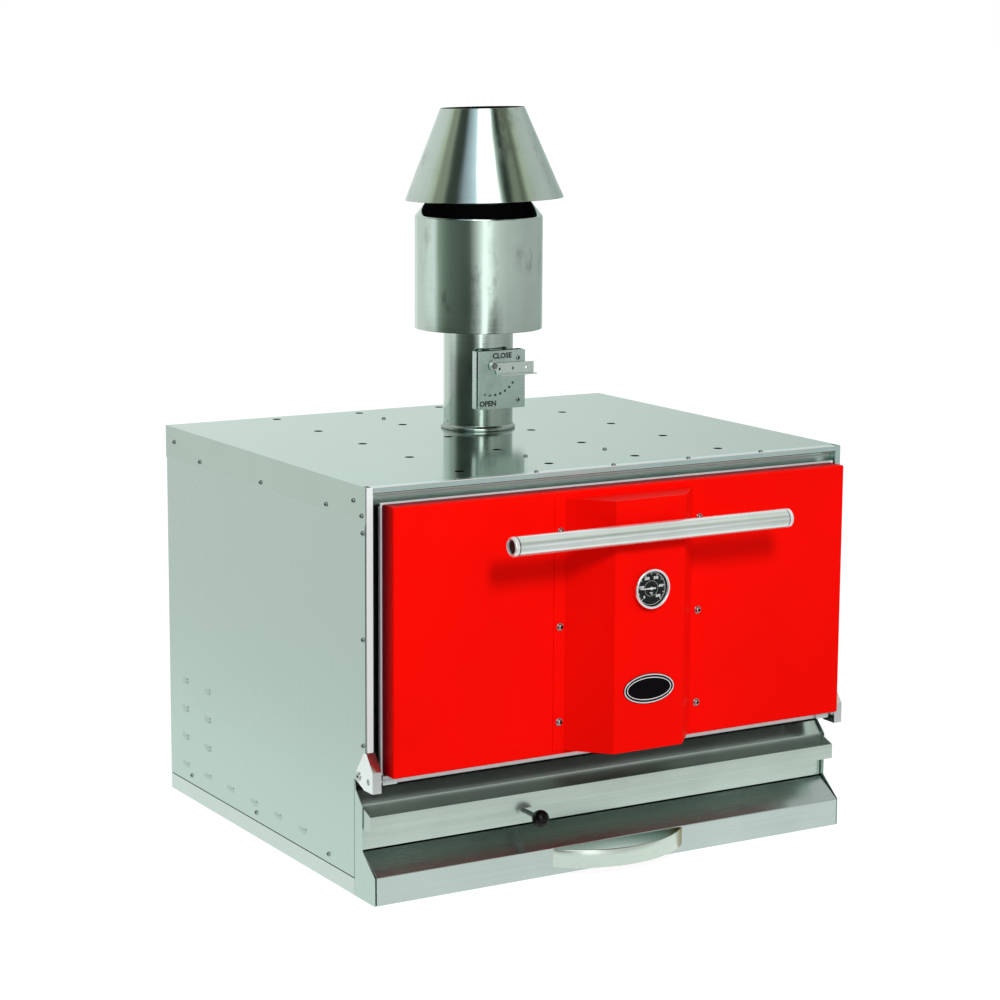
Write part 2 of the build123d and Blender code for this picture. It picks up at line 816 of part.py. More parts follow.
with BuildPart() as chamber_roof_plate:
    with BuildSketch(Plane.XY.offset(chamber_roof)):
        with Locations((0, (wall_front + chamber_rear + chamber_wall) / 2)):
            Rectangle(2 * (mouth_half_width + chamber_wall), chamber_rear + chamber_wall - wall_front)
        with Locations((flue_x, flue_y)):
            Circle(flue_radius + flue_clearance, mode=Mode.SUBTRACT)
    extrude(amount=chamber_wall)
chamber_roof_plate.part.label = "chamber_roof"
export_step(chamber_roof_plate.part, "parts/chamber_roof.step")

# Bulkhead between the air inlet and the ash space, with the round inlet that the valve covers
with BuildPart() as air_bulkhead:
    with BuildSketch(Plane.XZ.offset(-air_bulkhead_y)):
        with Locations((0, (ash_wall_bottom + cheek_top + seam + plate) / 2)):
            Rectangle(2 * mouth_half_width, cheek_top + seam + plate - ash_wall_bottom)
        with Locations((air_x, air_z)):
            Circle(air_inlet_dia / 2, mode=Mode.SUBTRACT)
    extrude(amount=-gutter_sheet)
    with BuildSketch(Plane.XY.offset(cheek_top + seam)):
        with Locations((0, (sill_depth + seam + air_bulkhead_y) / 2)):
            Rectangle(2 * (mouth_half_width - ledge_width) - 1, air_bulkhead_y - sill_depth - seam)
    extrude(amount=gutter_sheet)
air_bulkhead.part.label = "air_bulkhead"
export_step(air_bulkhead.part, "parts/air_bulkhead.step")

# Wool blanket around the chamber's sides, back and roof
wool_inner = mouth_half_width + chamber_wall + wool_gap
wool_outer = wool_inner + wool_thickness
wool_roof = chamber_roof + chamber_wall + wool_gap
with BuildPart() as chamber_wool:
    with BuildSketch(Plane.XY.offset(ash_wall_bottom)):
        with Locations((0, (ash_front + chamber_rear + chamber_wall + wool_gap + wool_thickness) / 2)):
            Rectangle(2 * wool_outer, chamber_rear + chamber_wall + wool_gap + wool_thickness - ash_front)
        with Locations((0, (ash_front + chamber_rear + chamber_wall + wool_gap) / 2)):
            Rectangle(
                2 * wool_inner, chamber_rear + chamber_wall + wool_gap - ash_front, mode=Mode.SUBTRACT
            )
    extrude(amount=wool_roof + wool_thickness - ash_wall_bottom)
    with BuildSketch(Plane.XY.offset(wool_roof)):
        with Locations((0, (ash_front + chamber_rear + chamber_wall + wool_gap) / 2)):
            Rectangle(2 * wool_inner, chamber_rear + chamber_wall + wool_gap - ash_front)
        with Locations((flue_x, flue_y)):
            Circle(flue_radius + wool_gap, mode=Mode.SUBTRACT)
    extrude(amount=wool_thickness)
chamber_wool.part.label = "chamber_wool"
export_step(chamber_wool.part, "parts/chamber_wool.step")

# Charcoal grate: a cast frame with bars from front to back
grate_length = grate_rear - grate_front
bar_count = 2 * int((grate_half_width - grate_bar) / grate_pitch) - 1
with BuildPart() as charcoal_grate:
    with BuildSketch(Plane.XY.offset(ledge_top)):
        with Locations((0, (grate_front + grate_rear) / 2)):
            Rectangle(2 * grate_half_width, grate_length)
            Rectangle(2 * grate_half_width - 2 * grate_bar, grate_length - 2 * grate_bar, mode=Mode.SUBTRACT)
            with GridLocations(grate_pitch, 0, bar_count, 1):
                Rectangle(grate_bar, grate_length)
            with GridLocations(0, grate_length / 3, 1, 2):
                Rectangle(2 * grate_half_width, grate_bar)
    extrude(amount=grate_height)
charcoal_grate.part.label = "charcoal_grate"
export_step(charcoal_grate.part, "parts/charcoal_grate.step")

# Fire bricks that stand around the grate
side_brick_pitch = (chamber_rear - ash_front - brick_joint) / side_brick_count
back_brick_half = mouth_half_width - brick_thickness - brick_joint
back_brick_pitch = 2 * back_brick_half / back_brick_count
with BuildPart() as fire_bricks:
    with BuildSketch(Plane.XY.offset(ledge_top)):
        for sign in (-1, 1):
            with Locations(
                (sign * (mouth_half_width - brick_thickness / 2), (ash_front + chamber_rear - brick_joint) / 2)
            ):
                with GridLocations(0, side_brick_pitch, 1, side_brick_count):
                    Rectangle(brick_thickness, side_brick_pitch - brick_joint)
        with Locations((0, chamber_rear - brick_thickness / 2 - brick_joint)):
            with GridLocations(back_brick_pitch, 0, back_brick_count, 1):
                Rectangle(back_brick_pitch - brick_joint, brick_thickness)
    extrude(amount=brick_height)
fire_bricks.part.label = "fire_bricks"
export_step(fire_bricks.part, "parts/fire_bricks.step")

# Rack rails, three angles on each chamber wall
with BuildPart() as rack_rails:
    for level in [ledge_top + rail_first_rise + row * rail_pitch for row in range(rail_count)]:
        for sign in (-1, 1):
            with BuildSketch(Plane.XZ.offset(-rail_front)):
                with Locations((sign * (mouth_half_width - rail_width / 2), level - rail_sheet / 2)):
                    Rectangle(rail_width, rail_sheet)
                with Locations((sign * (mouth_half_width - rail_sheet / 2), level - rail_height / 2)):
                    Rectangle(rail_sheet, rail_height)
            extrude(amount=-(rail_rear - rail_front))
rack_rails.part.label = "rack_rails"
export_step(rack_rails.part, "parts/rack_rails.step")

# Cooking grill: a round-bar frame with rods from front to back
grill_z = ledge_top + rail_first_rise + rail_pitch + grill_frame_dia / 2
grill_half = mouth_half_width - grill_side_gap - grill_frame_dia / 2
grill_length = grill_rear - grill_front
with BuildPart() as cooking_grill:
    with BuildSketch(Plane.XZ.offset(-grill_front)):
        with Locations((-grill_half, grill_z), (grill_half, grill_z)):
            Circle(grill_frame_dia / 2)
        with Locations((0, grill_z)):
            with GridLocations(2 * grill_half / (grill_rod_count + 1), 0, grill_rod_count, 1):
                Circle(grill_rod_dia / 2)
    extrude(amount=-grill_length)
    with BuildSketch(Plane.YZ.offset(-grill_half - grill_frame_dia / 2)):
        with Locations(
            (grill_front, grill_z), (grill_rear, grill_z), ((grill_front + grill_rear) / 2, grill_z)
        ):
            Circle(grill_frame_dia / 2)
    extrude(amount=2 * grill_half + grill_frame_dia)
cooking_grill.part.label = "cooking_grill"
export_step(cooking_grill.part, "parts/cooking_grill.step")

# Runners that carry the ash drawer's pan and guide its sides
runner_rise = drawer_pan_bottom - seam
with BuildPart() as drawer_runners:
    for sign in (-1, 1):
        with BuildSketch(Plane.XZ.offset(-runner_front)):
            with Locations(
                (sign * (drawer_half_width + runner_guide - runner_width / 2), (base_floor + runner_rise) / 2)
            ):
                Rectangle(runner_width, runner_rise - base_floor)
            with Locations((sign * (drawer_half_width + 1.5 * runner_guide), (base_floor + runner_height) / 2)):
                Rectangle(runner_guide, runner_height - base_floor)
        extrude(amount=-(runner_rear - runner_front))
drawer_runners.part.label = "drawer_runners"
export_step(drawer_runners.part, "parts/drawer_runners.step")

# Ash drawer: pan, folded front and bow handle
with BuildPart() as drawer_pan:
    with BuildSketch(Plane.XY.offset(drawer_pan_bottom)):
        with Locations((0, (drawer_pan_front + drawer_pan_rear) / 2)):
            Rectangle(2 * drawer_half_width, drawer_pan_rear - drawer_pan_front)
    extrude(amount=drawer_pan_top - drawer_pan_bottom)
    with BuildSketch(Plane.XY.offset(drawer_pan_bottom + drawer_wall)):
        with Locations((0, (drawer_pan_front + drawer_pan_rear) / 2)):
            Rectangle(
                2 * (drawer_half_width - drawer_wall), drawer_pan_rear - drawer_pan_front - 2 * drawer_wall
            )
    extrude(amount=drawer_pan_top - drawer_pan_bottom, mode=Mode.SUBTRACT)
drawer_pan.part.label = "drawer_pan"
export_step(drawer_pan.part, "parts/drawer_pan.step")

with BuildPart() as drawer_front:
    with BuildSketch(Plane.YZ.offset(-drawer_front_half)):
        with BuildLine():
            drawer_path = Polyline(
                (drawer_hood_y, drawer_hood_z),
                (drawer_face, drawer_face_top),
                (drawer_face, drawer_face_bottom),
                (drawer_flange_rear, drawer_face_bottom),
            )
            offset(drawer_path, amount=drawer_sheet, side=Side.LEFT, closed=True)
        make_face()
    extrude(amount=2 * drawer_front_half)
drawer_front.part.label = "drawer_front"
export_step(drawer_front.part, "parts/drawer_front.step")

with BuildPart() as drawer_handle:
    with BuildSketch(Plane.XY.offset(bow_bottom)):
        with BuildLine():
            bow_outer = ThreePointArc(
                (-bow_half, drawer_face), (0, drawer_face - bow_rise), (bow_half, drawer_face)
            )
            bow_inner = ThreePointArc(
                (-bow_half + bow_thickness, drawer_face),
                (0, drawer_face - bow_rise + bow_thickness),
                (bow_half - bow_thickness, drawer_face),
            )
            Line(bow_outer @ 0, bow_inner @ 0)
            Line(bow_outer @ 1, bow_inner @ 1)
        make_face()
    extrude(amount=bow_height)
drawer_handle.part.label = "drawer_handle"
export_step(drawer_handle.part, "parts/drawer_handle.step")

# Air control: a push rod with the valve disc at its rear end and a ball at its front
air_disc_rear = air_bulkhead_y - face_gap
with BuildPart() as air_valve:
    with BuildSketch(Plane.XZ.offset(-(air_disc_rear - air_disc_thickness))):
        with Locations((air_x, air_z)):
            Circle(air_disc_dia / 2)
    extrude(amount=-air_disc_thickness)
    with BuildSketch(Plane.XZ.offset(-(air_disc_rear - air_disc_thickness))):
        with Locations((air_x, air_z)):
            Circle(air_rod_dia / 2)
    extrude(amount=air_disc_rear - air_disc_thickness - knob_y)
air_valve.part.label = "air_valve"
export_step(air_valve.part, "parts/air_valve.step")

with BuildPart() as air_knob:
    with Locations((air_x, knob_y, air_z)):
        Sphere(knob_dia / 2)
    with BuildSketch(Plane.XZ.offset(-knob_y)):
        with Locations((air_x, air_z)):
            Circle(air_rod_dia / 2)
    extrude(amount=-knob_dia, mode=Mode.SUBTRACT)
air_knob.part.label = "air_knob"
export_step(air_knob.part, "parts/air_knob.step")

# Door: outer skin, rear pan with its flange, wool core and rope gasket
door_middle = (door_bottom + door_top) / 2
with BuildPart() as door_skin:
    with BuildSketch(Plane.XZ.offset(-door_front)):
        with Locations((0, door_middle)):
            Rectangle(2 * door_half_width, door_top - door_bottom)
    extrude(amount=-(skin_rear - door_front))
    with BuildSketch(Plane.XZ.offset(-(door_front + skin_sheet))):
        with Locations((0, door_middle)):
            Rectangle(2 * (door_half_width - skin_sheet), door_top - door_bottom - 2 * skin_sheet)
    extrude(amount=-(skin_rear - door_front), mode=Mode.SUBTRACT)
    with BuildSketch(Plane.XZ.offset(-door_front)):
        with Locations((0, thermometer_z)):
            Circle(stem_dia / 2 + stem_clearance)
    extrude(amount=-skin_sheet, mode=Mode.SUBTRACT)
door_skin.part.label = "door_skin"
export_step(door_skin.part, "parts/door_skin.step")

with BuildPart() as door_pan:
    with BuildSketch(Plane.XZ.offset(-skin_rear)):
        with Locations((0, (pan_flange_bottom + door_top + pan_flange_side) / 2)):
            Rectangle(2 * pan_flange_half, door_top + pan_flange_side - pan_flange_bottom)
    extrude(amount=-skin_sheet)
    with BuildSketch(Plane.XZ.offset(-skin_rear)):
        with Locations((0, (pan_bottom + pan_top) / 2)):
            Rectangle(2 * pan_half, pan_top - pan_bottom)
    extrude(amount=-(pan_rear - skin_rear))
    with BuildSketch(Plane.XZ.offset(-skin_rear)):
        with Locations((0, (door_bottom + skin_sheet + pan_top - sheet) / 2)):
            Rectangle(2 * (pan_half - sheet), pan_top - sheet - door_bottom - skin_sheet)
    extrude(amount=-(pan_rear - sheet - skin_rear), mode=Mode.SUBTRACT)
    with BuildSketch(Plane.XZ.offset(-(pan_rear - sheet))):
        with Locations((0, thermometer_z)):
            Circle(stem_dia / 2 + stem_clearance)
    extrude(amount=-sheet, mode=Mode.SUBTRACT)
door_pan.part.label = "door_pan"
export_step(door_pan.part, "parts/door_pan.step")

with BuildPart() as door_wool:
    with BuildSketch(Plane.XZ.offset(-(door_front + skin_sheet + door_wool_gap))):
        with Locations((0, (door_bottom + pan_top) / 2)):
            Rectangle(
                2 * (pan_half - sheet - door_wool_gap), pan_top - door_bottom - 2 * (skin_sheet + door_wool_gap)
            )
        with Locations((0, thermometer_z)):
            Circle(stem_dia / 2 + stem_clearance, mode=Mode.SUBTRACT)
    extrude(amount=-(pan_rear - sheet - door_front - skin_sheet - 2 * door_wool_gap))
door_wool.part.label = "door_wool"
export_step(door_wool.part, "parts/door_wool.step")

with BuildPart() as door_gasket:
    with BuildSketch(Plane.XZ.offset(-pan_rear)):
        with Locations((0, (gasket_bottom + gasket_top) / 2)):
            Rectangle(2 * gasket_half, gasket_top - gasket_bottom)
            Rectangle(
                2 * (gasket_half - gasket_width),
                gasket_top - gasket_bottom - 2 * gasket_width,
                mode=Mode.SUBTRACT,
            )
    extrude(amount=-(rebate_depth - pan_rear - gasket_gap))
door_gasket.part.label = "door_gasket"
export_step(door_gasket.part, "parts/door_gasket.step")

# Blocks and pins at the door's lower corners, on the hinge line
with BuildPart() as door_pivots:
    for sign in (-1, 1):
        with BuildSketch(Plane.YZ.offset(sign * (pan_flange_half - pivot_block_length))):
            with Locations((skin_rear - pivot_block_depth / 2, (pan_flange_bottom + door_bottom - seam) / 2)):
                Rectangle(pivot_block_depth, door_bottom - seam - pan_flange_bottom)
        extrude(amount=sign * pivot_block_length)
        with BuildSketch(Plane.YZ.offset(sign * pan_flange_half)):
            with Locations((hinge_y, hinge_z)):
                Circle(hinge_pin_dia / 2)
        extrude(amount=sign * (bracket_inner + bracket_thickness - bracket_side_gap - pan_flange_half))
door_pivots.part.label = "door_pivots"
export_step(door_pivots.part, "parts/door_pivots.step")

# Centre cover, a folded channel with closed ends and side flanges
cover_height = cover_top - cover_bottom
cover_outline = [
    (-cover_flange_half, door_front),
    (-cover_flange_half, door_front - skin_sheet),
    (-cover_foot_half, door_front - skin_sheet),
    (-cover_face_half, cover_front),
    (cover_face_half, cover_front),
    (cover_foot_half, door_front - skin_sheet),
    (cover_flange_half, door_front - skin_sheet),
    (cover_flange_half, door_front),
]
cover_hollow = [
    (-cover_foot_half + 1.5 * skin_sheet, door_front),
    (-cover_face_half + skin_sheet, cover_front + skin_sheet),
    (cover_face_half - skin_sheet, cover_front + skin_sheet),
    (cover_foot_half - 1.5 * skin_sheet, door_front),
]
with BuildPart() as handle_cover:
    with BuildSketch(Plane.XY.offset(cover_bottom)):
        with BuildLine():
            Polyline(*cover_outline, close=True)
        make_face()
    extrude(amount=cover_height)
    with BuildSketch(Plane.XY.offset(cover_bottom + skin_sheet)):
        with BuildLine():
            Polyline(*cover_hollow, close=True)
        make_face()
    extrude(amount=cover_height - 2 * skin_sheet, mode=Mode.SUBTRACT)
    with BuildSketch(Plane.XZ.offset(-cover_front)):
        with Locations((0, thermometer_z)):
            Circle(thermometer_body_dia / 2)
        with Locations((-handle_bolt_x, handle_z), (handle_bolt_x, handle_z)):
            Circle(handle_bolt_dia / 2)
    extrude(amount=-skin_sheet, mode=Mode.SUBTRACT)
handle_cover.part.label = "handle_cover"
export_step(handle_cover.part, "parts/handle_cover.step")

with BuildPart() as cover_screws:
    with BuildSketch(Plane.XZ.offset(-(door_front - skin_sheet))):
        with Locations((0, (cover_bottom + cover_top) / 2)):
            with GridLocations(
                2 * cover_screw_x,
                (cover_height - 2 * cover_screw_end) / (cover_screw_count - 1),
                2,
                cover_screw_count,
            ):
                Circle(cover_washer_dia / 2)
    extrude(amount=cover_washer_height)
    with BuildSketch(Plane.XZ.offset(-(door_front - skin_sheet - cover_washer_height))):
        with Locations((0, (cover_bottom + cover_top) / 2)):
            with GridLocations(
                2 * cover_screw_x,
                (cover_height - 2 * cover_screw_end) / (cover_screw_count - 1),
                2,
                cover_screw_count,
            ):
                RegularPolygon(radius=cover_head_dia / 2, side_count=6)
    extrude(amount=cover_head_height)
cover_screws.part.label = "cover_screws"
export_step(cover_screws.part, "parts/cover_screws.step")

# Door handle: tube, end caps, and the bolts that hold it to the cover
handle_y = cover_front - handle_dia / 2
with BuildPart() as handle_tube:
    with BuildSketch(Plane.YZ.offset(handle_shift - handle_half_length)):
        with Locations((handle_y, handle_z)):
            Circle(handle_dia / 2)
            Circle(handle_dia / 2 - handle_wall, mode=Mode.SUBTRACT)
    extrude(amount=2 * handle_half_length)
    with BuildSketch(Plane.XZ.offset(-handle_y)):
        with Locations((-handle_bolt_x, handle_z), (handle_bolt_x, handle_z)):
            Circle(handle_bolt_dia / 2)
    extrude(amount=-handle_dia, mode=Mode.SUBTRACT)
handle_tube.part.label = "handle_tube"
export_step(handle_tube.part, "parts/handle_tube.step")

with BuildPart() as handle_caps:
    for sign in (-1, 1):
        with BuildSketch(Plane.YZ.offset(handle_shift + sign * handle_half_length)):
            with Locations((handle_y, handle_z)):
                Circle(handle_dia / 2)
        extrude(amount=sign * handle_cap_length)
        with BuildSketch(Plane.YZ.offset(handle_shift + sign * (handle_half_length + handle_cap_length))):
            with Locations((handle_y, handle_z)):
                Circle(handle_dia / 2 - handle_cap_rim)
        extrude(amount=-sign * handle_cap_recess, mode=Mode.SUBTRACT)
        with BuildSketch(Plane.YZ.offset(handle_shift + sign * handle_half_length)):
            with Locations((handle_y, handle_z)):
                Circle(handle_dia / 2 - handle_wall)
        extrude(amount=-sign * handle_plug_length)
handle_caps.part.label = "handle_caps"
export_step(handle_caps.part, "parts/handle_caps.step")

with BuildPart() as handle_bolts:
    with BuildSketch(Plane.XZ.offset(-handle_y)):
        with Locations((-handle_bolt_x, handle_z), (handle_bolt_x, handle_z)):
            Circle(handle_bolt_dia / 2)
    extrude(amount=-(cover_front + 2 * handle_bolt_dia - handle_y))
    with BuildSketch(Plane.XZ.offset(-(cover_front + skin_sheet))):
        with Locations((-handle_bolt_x, handle_z), (handle_bolt_x, handle_z)):
            RegularPolygon(radius=handle_bolt_dia, side_count=6)
    extrude(amount=-handle_bolt_dia * 0.8)
handle_bolts.part.label = "handle_bolts"
export_step(handle_bolts.part, "parts/handle_bolts.step")

# Thermometer: case with its bezel and stem, dial, pointer and glass
bezel_front = cover_front - thermometer_proud
body_radius = thermometer_body_dia / 2
dial_face = bezel_front + dial_recess + lens_thickness + pointer_gap
case_rear = cover_front + thermometer_body_depth
with BuildPart() as thermometer_case:
    with BuildSketch(Plane.YZ):
        with BuildLine():
            Polyline(
                (bezel_front, thermometer_z + thermometer_dia / 2),
                (cover_front, thermometer_z + thermometer_dia / 2),
                (cover_front, thermometer_z + body_radius),
                (case_rear, thermometer_z + body_radius),
                (case_rear, thermometer_z + stem_dia / 2),
                (stem_tip_y, thermometer_z + stem_dia / 2),
                (stem_tip_y, thermometer_z),
                (case_rear - thermometer_wall, thermometer_z),
                (case_rear - thermometer_wall, thermometer_z + body_radius - thermometer_wall),
                (dial_face + dial_thickness, thermometer_z + body_radius - thermometer_wall),
                (dial_face + dial_thickness, thermometer_z + thermometer_dia / 2 - bezel_ring),
                (bezel_front, thermometer_z + thermometer_dia / 2 - bezel_ring),
                close=True,
            )
        make_face()
    revolve(axis=Axis((0, 0, thermometer_z), (0, 1, 0)))
thermometer_case.part.label = "thermometer_case"
export_step(thermometer_case.part, "parts/thermometer_case.step")

glass_radius = thermometer_dia / 2 - bezel_ring
with BuildPart() as thermometer_dial:
    with BuildSketch(Plane.XZ.offset(-dial_face)):
        with Locations((0, thermometer_z)):
            Circle(glass_radius)
            Circle(pointer_pin_dia / 2 + pointer_pin_clearance, mode=Mode.SUBTRACT)
    extrude(amount=-dial_thickness)
thermometer_dial.part.label = "thermometer_dial"
export_step(thermometer_dial.part, "parts/thermometer_dial.step")

with BuildPart() as thermometer_glass:
    with BuildSketch(Plane.XZ.offset(-(bezel_front + lens_recess))):
        with Locations((0, thermometer_z)):
            Circle(glass_radius)
    extrude(amount=-lens_thickness)
thermometer_glass.part.label = "thermometer_glass"
export_step(thermometer_glass.part, "parts/thermometer_glass.step")

pointer_rear = dial_face - pointer_gap / 2
with BuildPart() as pointer:
    with BuildSketch(Plane.XZ.offset(-pointer_rear)):
        with BuildLine():
            Polyline(
                (-pointer_length, thermometer_z),
                (0, thermometer_z + pointer_hub_dia / 4),
                (pointer_tail, thermometer_z + pointer_hub_dia / 4),
                (pointer_tail, thermometer_z - pointer_hub_dia / 4),
                (0, thermometer_z - pointer_hub_dia / 4),
                close=True,
            )
        make_face()
        with Locations((0, thermometer_z)):
            Circle(pointer_hub_dia / 2)
    extrude(amount=dial_thickness)
    with BuildSketch(Plane.XZ.offset(-pointer_rear)):
        with Locations((0, thermometer_z)):
            Circle(pointer_pin_dia / 2)
    extrude(amount=-(pointer_gap / 2 + 3 * dial_thickness))
pointer.part.label = "pointer"
export_step(pointer.part, "parts/pointer.step")

with BuildPart() as badge_plate:
    with BuildSketch(Plane.XZ.offset(-cover_front)):
        with Locations((0, plaque_z)):
            Ellipse(plaque_half_length, plaque_half_height)
    extrude(amount=plaque_thickness)
badge_plate.part.label = "badge_plate"
export_step(badge_plate.part, "parts/badge_plate.step")

# Flue: collar on the top, tube, expansion drum with its baffle, and the open hat on three struts
flue_axis = Axis((flue_x, flue_y, 0), (0, 0, 1))
with BuildPart() as flue_collar:
    with BuildSketch(Plane.XY.offset(cabinet_height)):
        with Locations((flue_x, flue_y)):
            Circle(collar_radius)
            Circle(flue_radius + flue_clearance, mode=Mode.SUBTRACT)
    extrude(amount=collar_height)
    chamfer(
        flue_collar.edges().filter_by(GeomType.CIRCLE).group_by(Axis.Z)[-1].sort_by(SortBy.RADIUS)[-1],
        length=(collar_radius - flue_radius) / 2,
    )
flue_collar.part.label = "flue_collar"
export_step(flue_collar.part, "parts/flue_collar.step")

shaft_x = flue_x + damper_pivot_x
with BuildPart() as flue_tube:
    with BuildSketch(Plane.XY.offset(flue_bottom)):
        with Locations((flue_x, flue_y)):
            Circle(flue_radius)
            Circle(flue_radius - flue_wall, mode=Mode.SUBTRACT)
    extrude(amount=flue_top - flue_bottom)
    with BuildSketch(Plane.XZ.offset(-flue_y)):
        with Locations((shaft_x, damper_z)):
            Circle(damper_shaft_dia / 2 + damper_fit)
    extrude(amount=flue_radius, both=True, mode=Mode.SUBTRACT)
flue_tube.part.label = "flue_tube"
export_step(flue_tube.part, "parts/flue_tube.step")

with BuildPart() as drum:
    with BuildSketch(Plane.XZ.offset(-flue_y)):
        with BuildLine():
            Polyline(
                (flue_x + drum_radius, drum_bottom),
                (flue_x + drum_radius, drum_shoulder),
                (flue_x + drum_throat_radius, drum_top),
                (flue_x + drum_throat_radius - flue_wall, drum_top),
                (flue_x + drum_radius - flue_wall, drum_shoulder - flue_wall / 3),
                (flue_x + drum_radius - flue_wall, drum_floor + flue_wall),
                (flue_x + flue_radius + flue_clearance, drum_floor + flue_wall),
                (flue_x + flue_radius + flue_clearance, drum_floor),
                (flue_x + drum_radius - flue_wall, drum_floor),
                (flue_x + drum_radius - flue_wall, drum_bottom),
                close=True,
            )
        make_face()
    revolve(axis=flue_axis)
drum.part.label = "drum"
export_step(drum.part, "parts/drum.step")

with BuildPart() as drum_baffle:
    with BuildSketch(Plane.XY.offset(baffle_z)):
        with Locations((flue_x, flue_y)):
            Circle(baffle_radius)
    extrude(amount=strut_thickness)
    with BuildSketch(Plane.XY.offset(drum_floor + flue_wall)):
        with Locations((flue_x, flue_y)):
            with PolarLocations(baffle_leg_radius, strut_count, start_angle=30):
                Rectangle(strut_thickness, baffle_leg_width)
    extrude(amount=baffle_z - drum_floor - flue_wall)
drum_baffle.part.label = "drum_baffle"
export_step(drum_baffle.part, "parts/drum_baffle.step")

# Hat: an open cone that sits a little to one side of the drum and leans the same way
hat_rim = (flue_x, flue_y, hat_bottom)
lean_axis = Axis(hat_rim, (math.sin(hat_shift_turn), -math.cos(hat_shift_turn), 0))
hat_move = Location((hat_shift_x, hat_shift_y, 0))
with BuildPart() as hat:
    with BuildSketch(Plane.XZ.offset(-flue_y)):
        with BuildLine():
            Polyline(
                (flue_x + hat_base_radius, hat_bottom),
                (flue_x + hat_top_radius, hat_top),
                (flue_x + hat_top_radius - flue_wall, hat_top),
                (flue_x + hat_base_radius - flue_wall, hat_bottom),
                close=True,
            )
        make_face()
    revolve(axis=flue_axis)
placed_hat = hat.part.rotate(lean_axis, hat_lean).moved(hat_move)
placed_hat.label = "hat"
export_step(placed_hat, "parts/hat.step")

# Ring around the hat's hollow, which trims the struts to the wall that they hold
with BuildPart() as hat_outside:
    with BuildSketch(Plane.XZ.offset(-flue_y)):
        with BuildLine():
            Polyline(
                (flue_x + hat_base_radius - flue_wall - face_gap, hat_bottom),
                (flue_x + 2 * hat_base_radius, hat_bottom),
                (flue_x + 2 * hat_base_radius, hat_top),
                (flue_x + hat_top_radius - flue_wall - face_gap, hat_top),
                close=True,
            )
        make_face()
    revolve(axis=flue_axis)
strut_trim = hat_outside.part.rotate(lean_axis, hat_lean).moved(hat_move)

strut_outer = hat_base_radius - flue_wall + 1.5 * hat_shift
throat_inner = drum_throat_radius - flue_wall - face_gap
with BuildPart() as hat_struts:
    for number in range(strut_count):
        angle = math.radians(90 + 360 * number / strut_count)
        strut_plane = Plane(
            origin=(flue_x, flue_y, drum_top),
            x_dir=(math.cos(angle), math.sin(angle), 0),
            z_dir=(math.sin(angle), -math.cos(angle), 0),
        )
        with BuildSketch(strut_plane):
            with BuildLine():
                Polyline(
                    (throat_inner - strut_foot / 2, -strut_foot),
                    (throat_inner, -strut_foot),
                    (throat_inner, face_gap),
                    (strut_outer, hat_gap + strut_end_rise),
                    (strut_outer, hat_gap + strut_rise),
                    (throat_inner - strut_foot / 2, hat_gap + face_gap),
                    close=True,
                )
            make_face()
        extrude(amount=strut_thickness / 2, both=True)
    add(strut_trim, mode=Mode.SUBTRACT)
hat_struts.part.label = "hat_struts"
export_step(hat_struts.part, "parts/hat_struts.step")

# Damper bracket on the front of the flue: a shallow channel with a saddle that meets the tube
with BuildPart() as damper_bracket:
    with BuildSketch(Plane.XY.offset(dial_bottom)):
        with Locations((flue_x, bracket_web_y + sheet / 2)):
            Rectangle(2 * dial_half_width, sheet)
        for sign in (-1, 1):
            with Locations((flue_x + sign * (dial_half_width - sheet / 2), bracket_web_y + bracket_return / 2)):
                Rectangle(sheet, bracket_return)
        with Locations((flue_x, (bracket_web_y + flue_y) / 2)):
            Rectangle(2 * saddle_half_width, flue_y - bracket_web_y)
        with Locations((flue_x, flue_y)):
            Circle(flue_radius, mode=Mode.SUBTRACT)
    extrude(amount=dial_height)
    with BuildSketch(Plane.XZ.offset(-bracket_web_y)):
        with Locations((shaft_x, damper_z)):
            Circle(damper_shaft_dia / 2 + damper_fit)
    extrude(amount=-bracket_return, mode=Mode.SUBTRACT)
damper_bracket.part.label = "damper_bracket"
export_step(damper_bracket.part, "parts/damper_bracket.step")

dial_rear = dial_front + sheet
dial_screw_places = [
    (flue_x + dial_screw_x, dial_bottom + dial_screw_inset),
    (flue_x + dial_screw_x, dial_top - dial_screw_inset),
]
with BuildPart() as damper_dial:
    with BuildSketch(Plane.XZ.offset(-dial_front)):
        with Locations((flue_x, (dial_bottom + dial_top) / 2)):
            Rectangle(2 * dial_half_width, dial_height)
        with Locations((shaft_x, damper_z)):
            Circle(damper_shaft_dia / 2 + damper_fit, mode=Mode.SUBTRACT)
            with PolarLocations(
                index_radius,
                index_count,
                start_angle=index_first_angle,
                angular_range=index_last_angle - index_first_angle,
                endpoint=True,
            ):
                Circle(index_hole_dia / 2, mode=Mode.SUBTRACT)
    extrude(amount=-sheet)
    with BuildSketch(Plane.XZ.offset(-dial_rear)):
        with Locations(*dial_screw_places):
            Circle(dial_spacer_dia / 2)
    extrude(amount=-(bracket_web_y - dial_rear))
damper_dial.part.label = "damper_dial"
export_step(damper_dial.part, "parts/damper_dial.step")

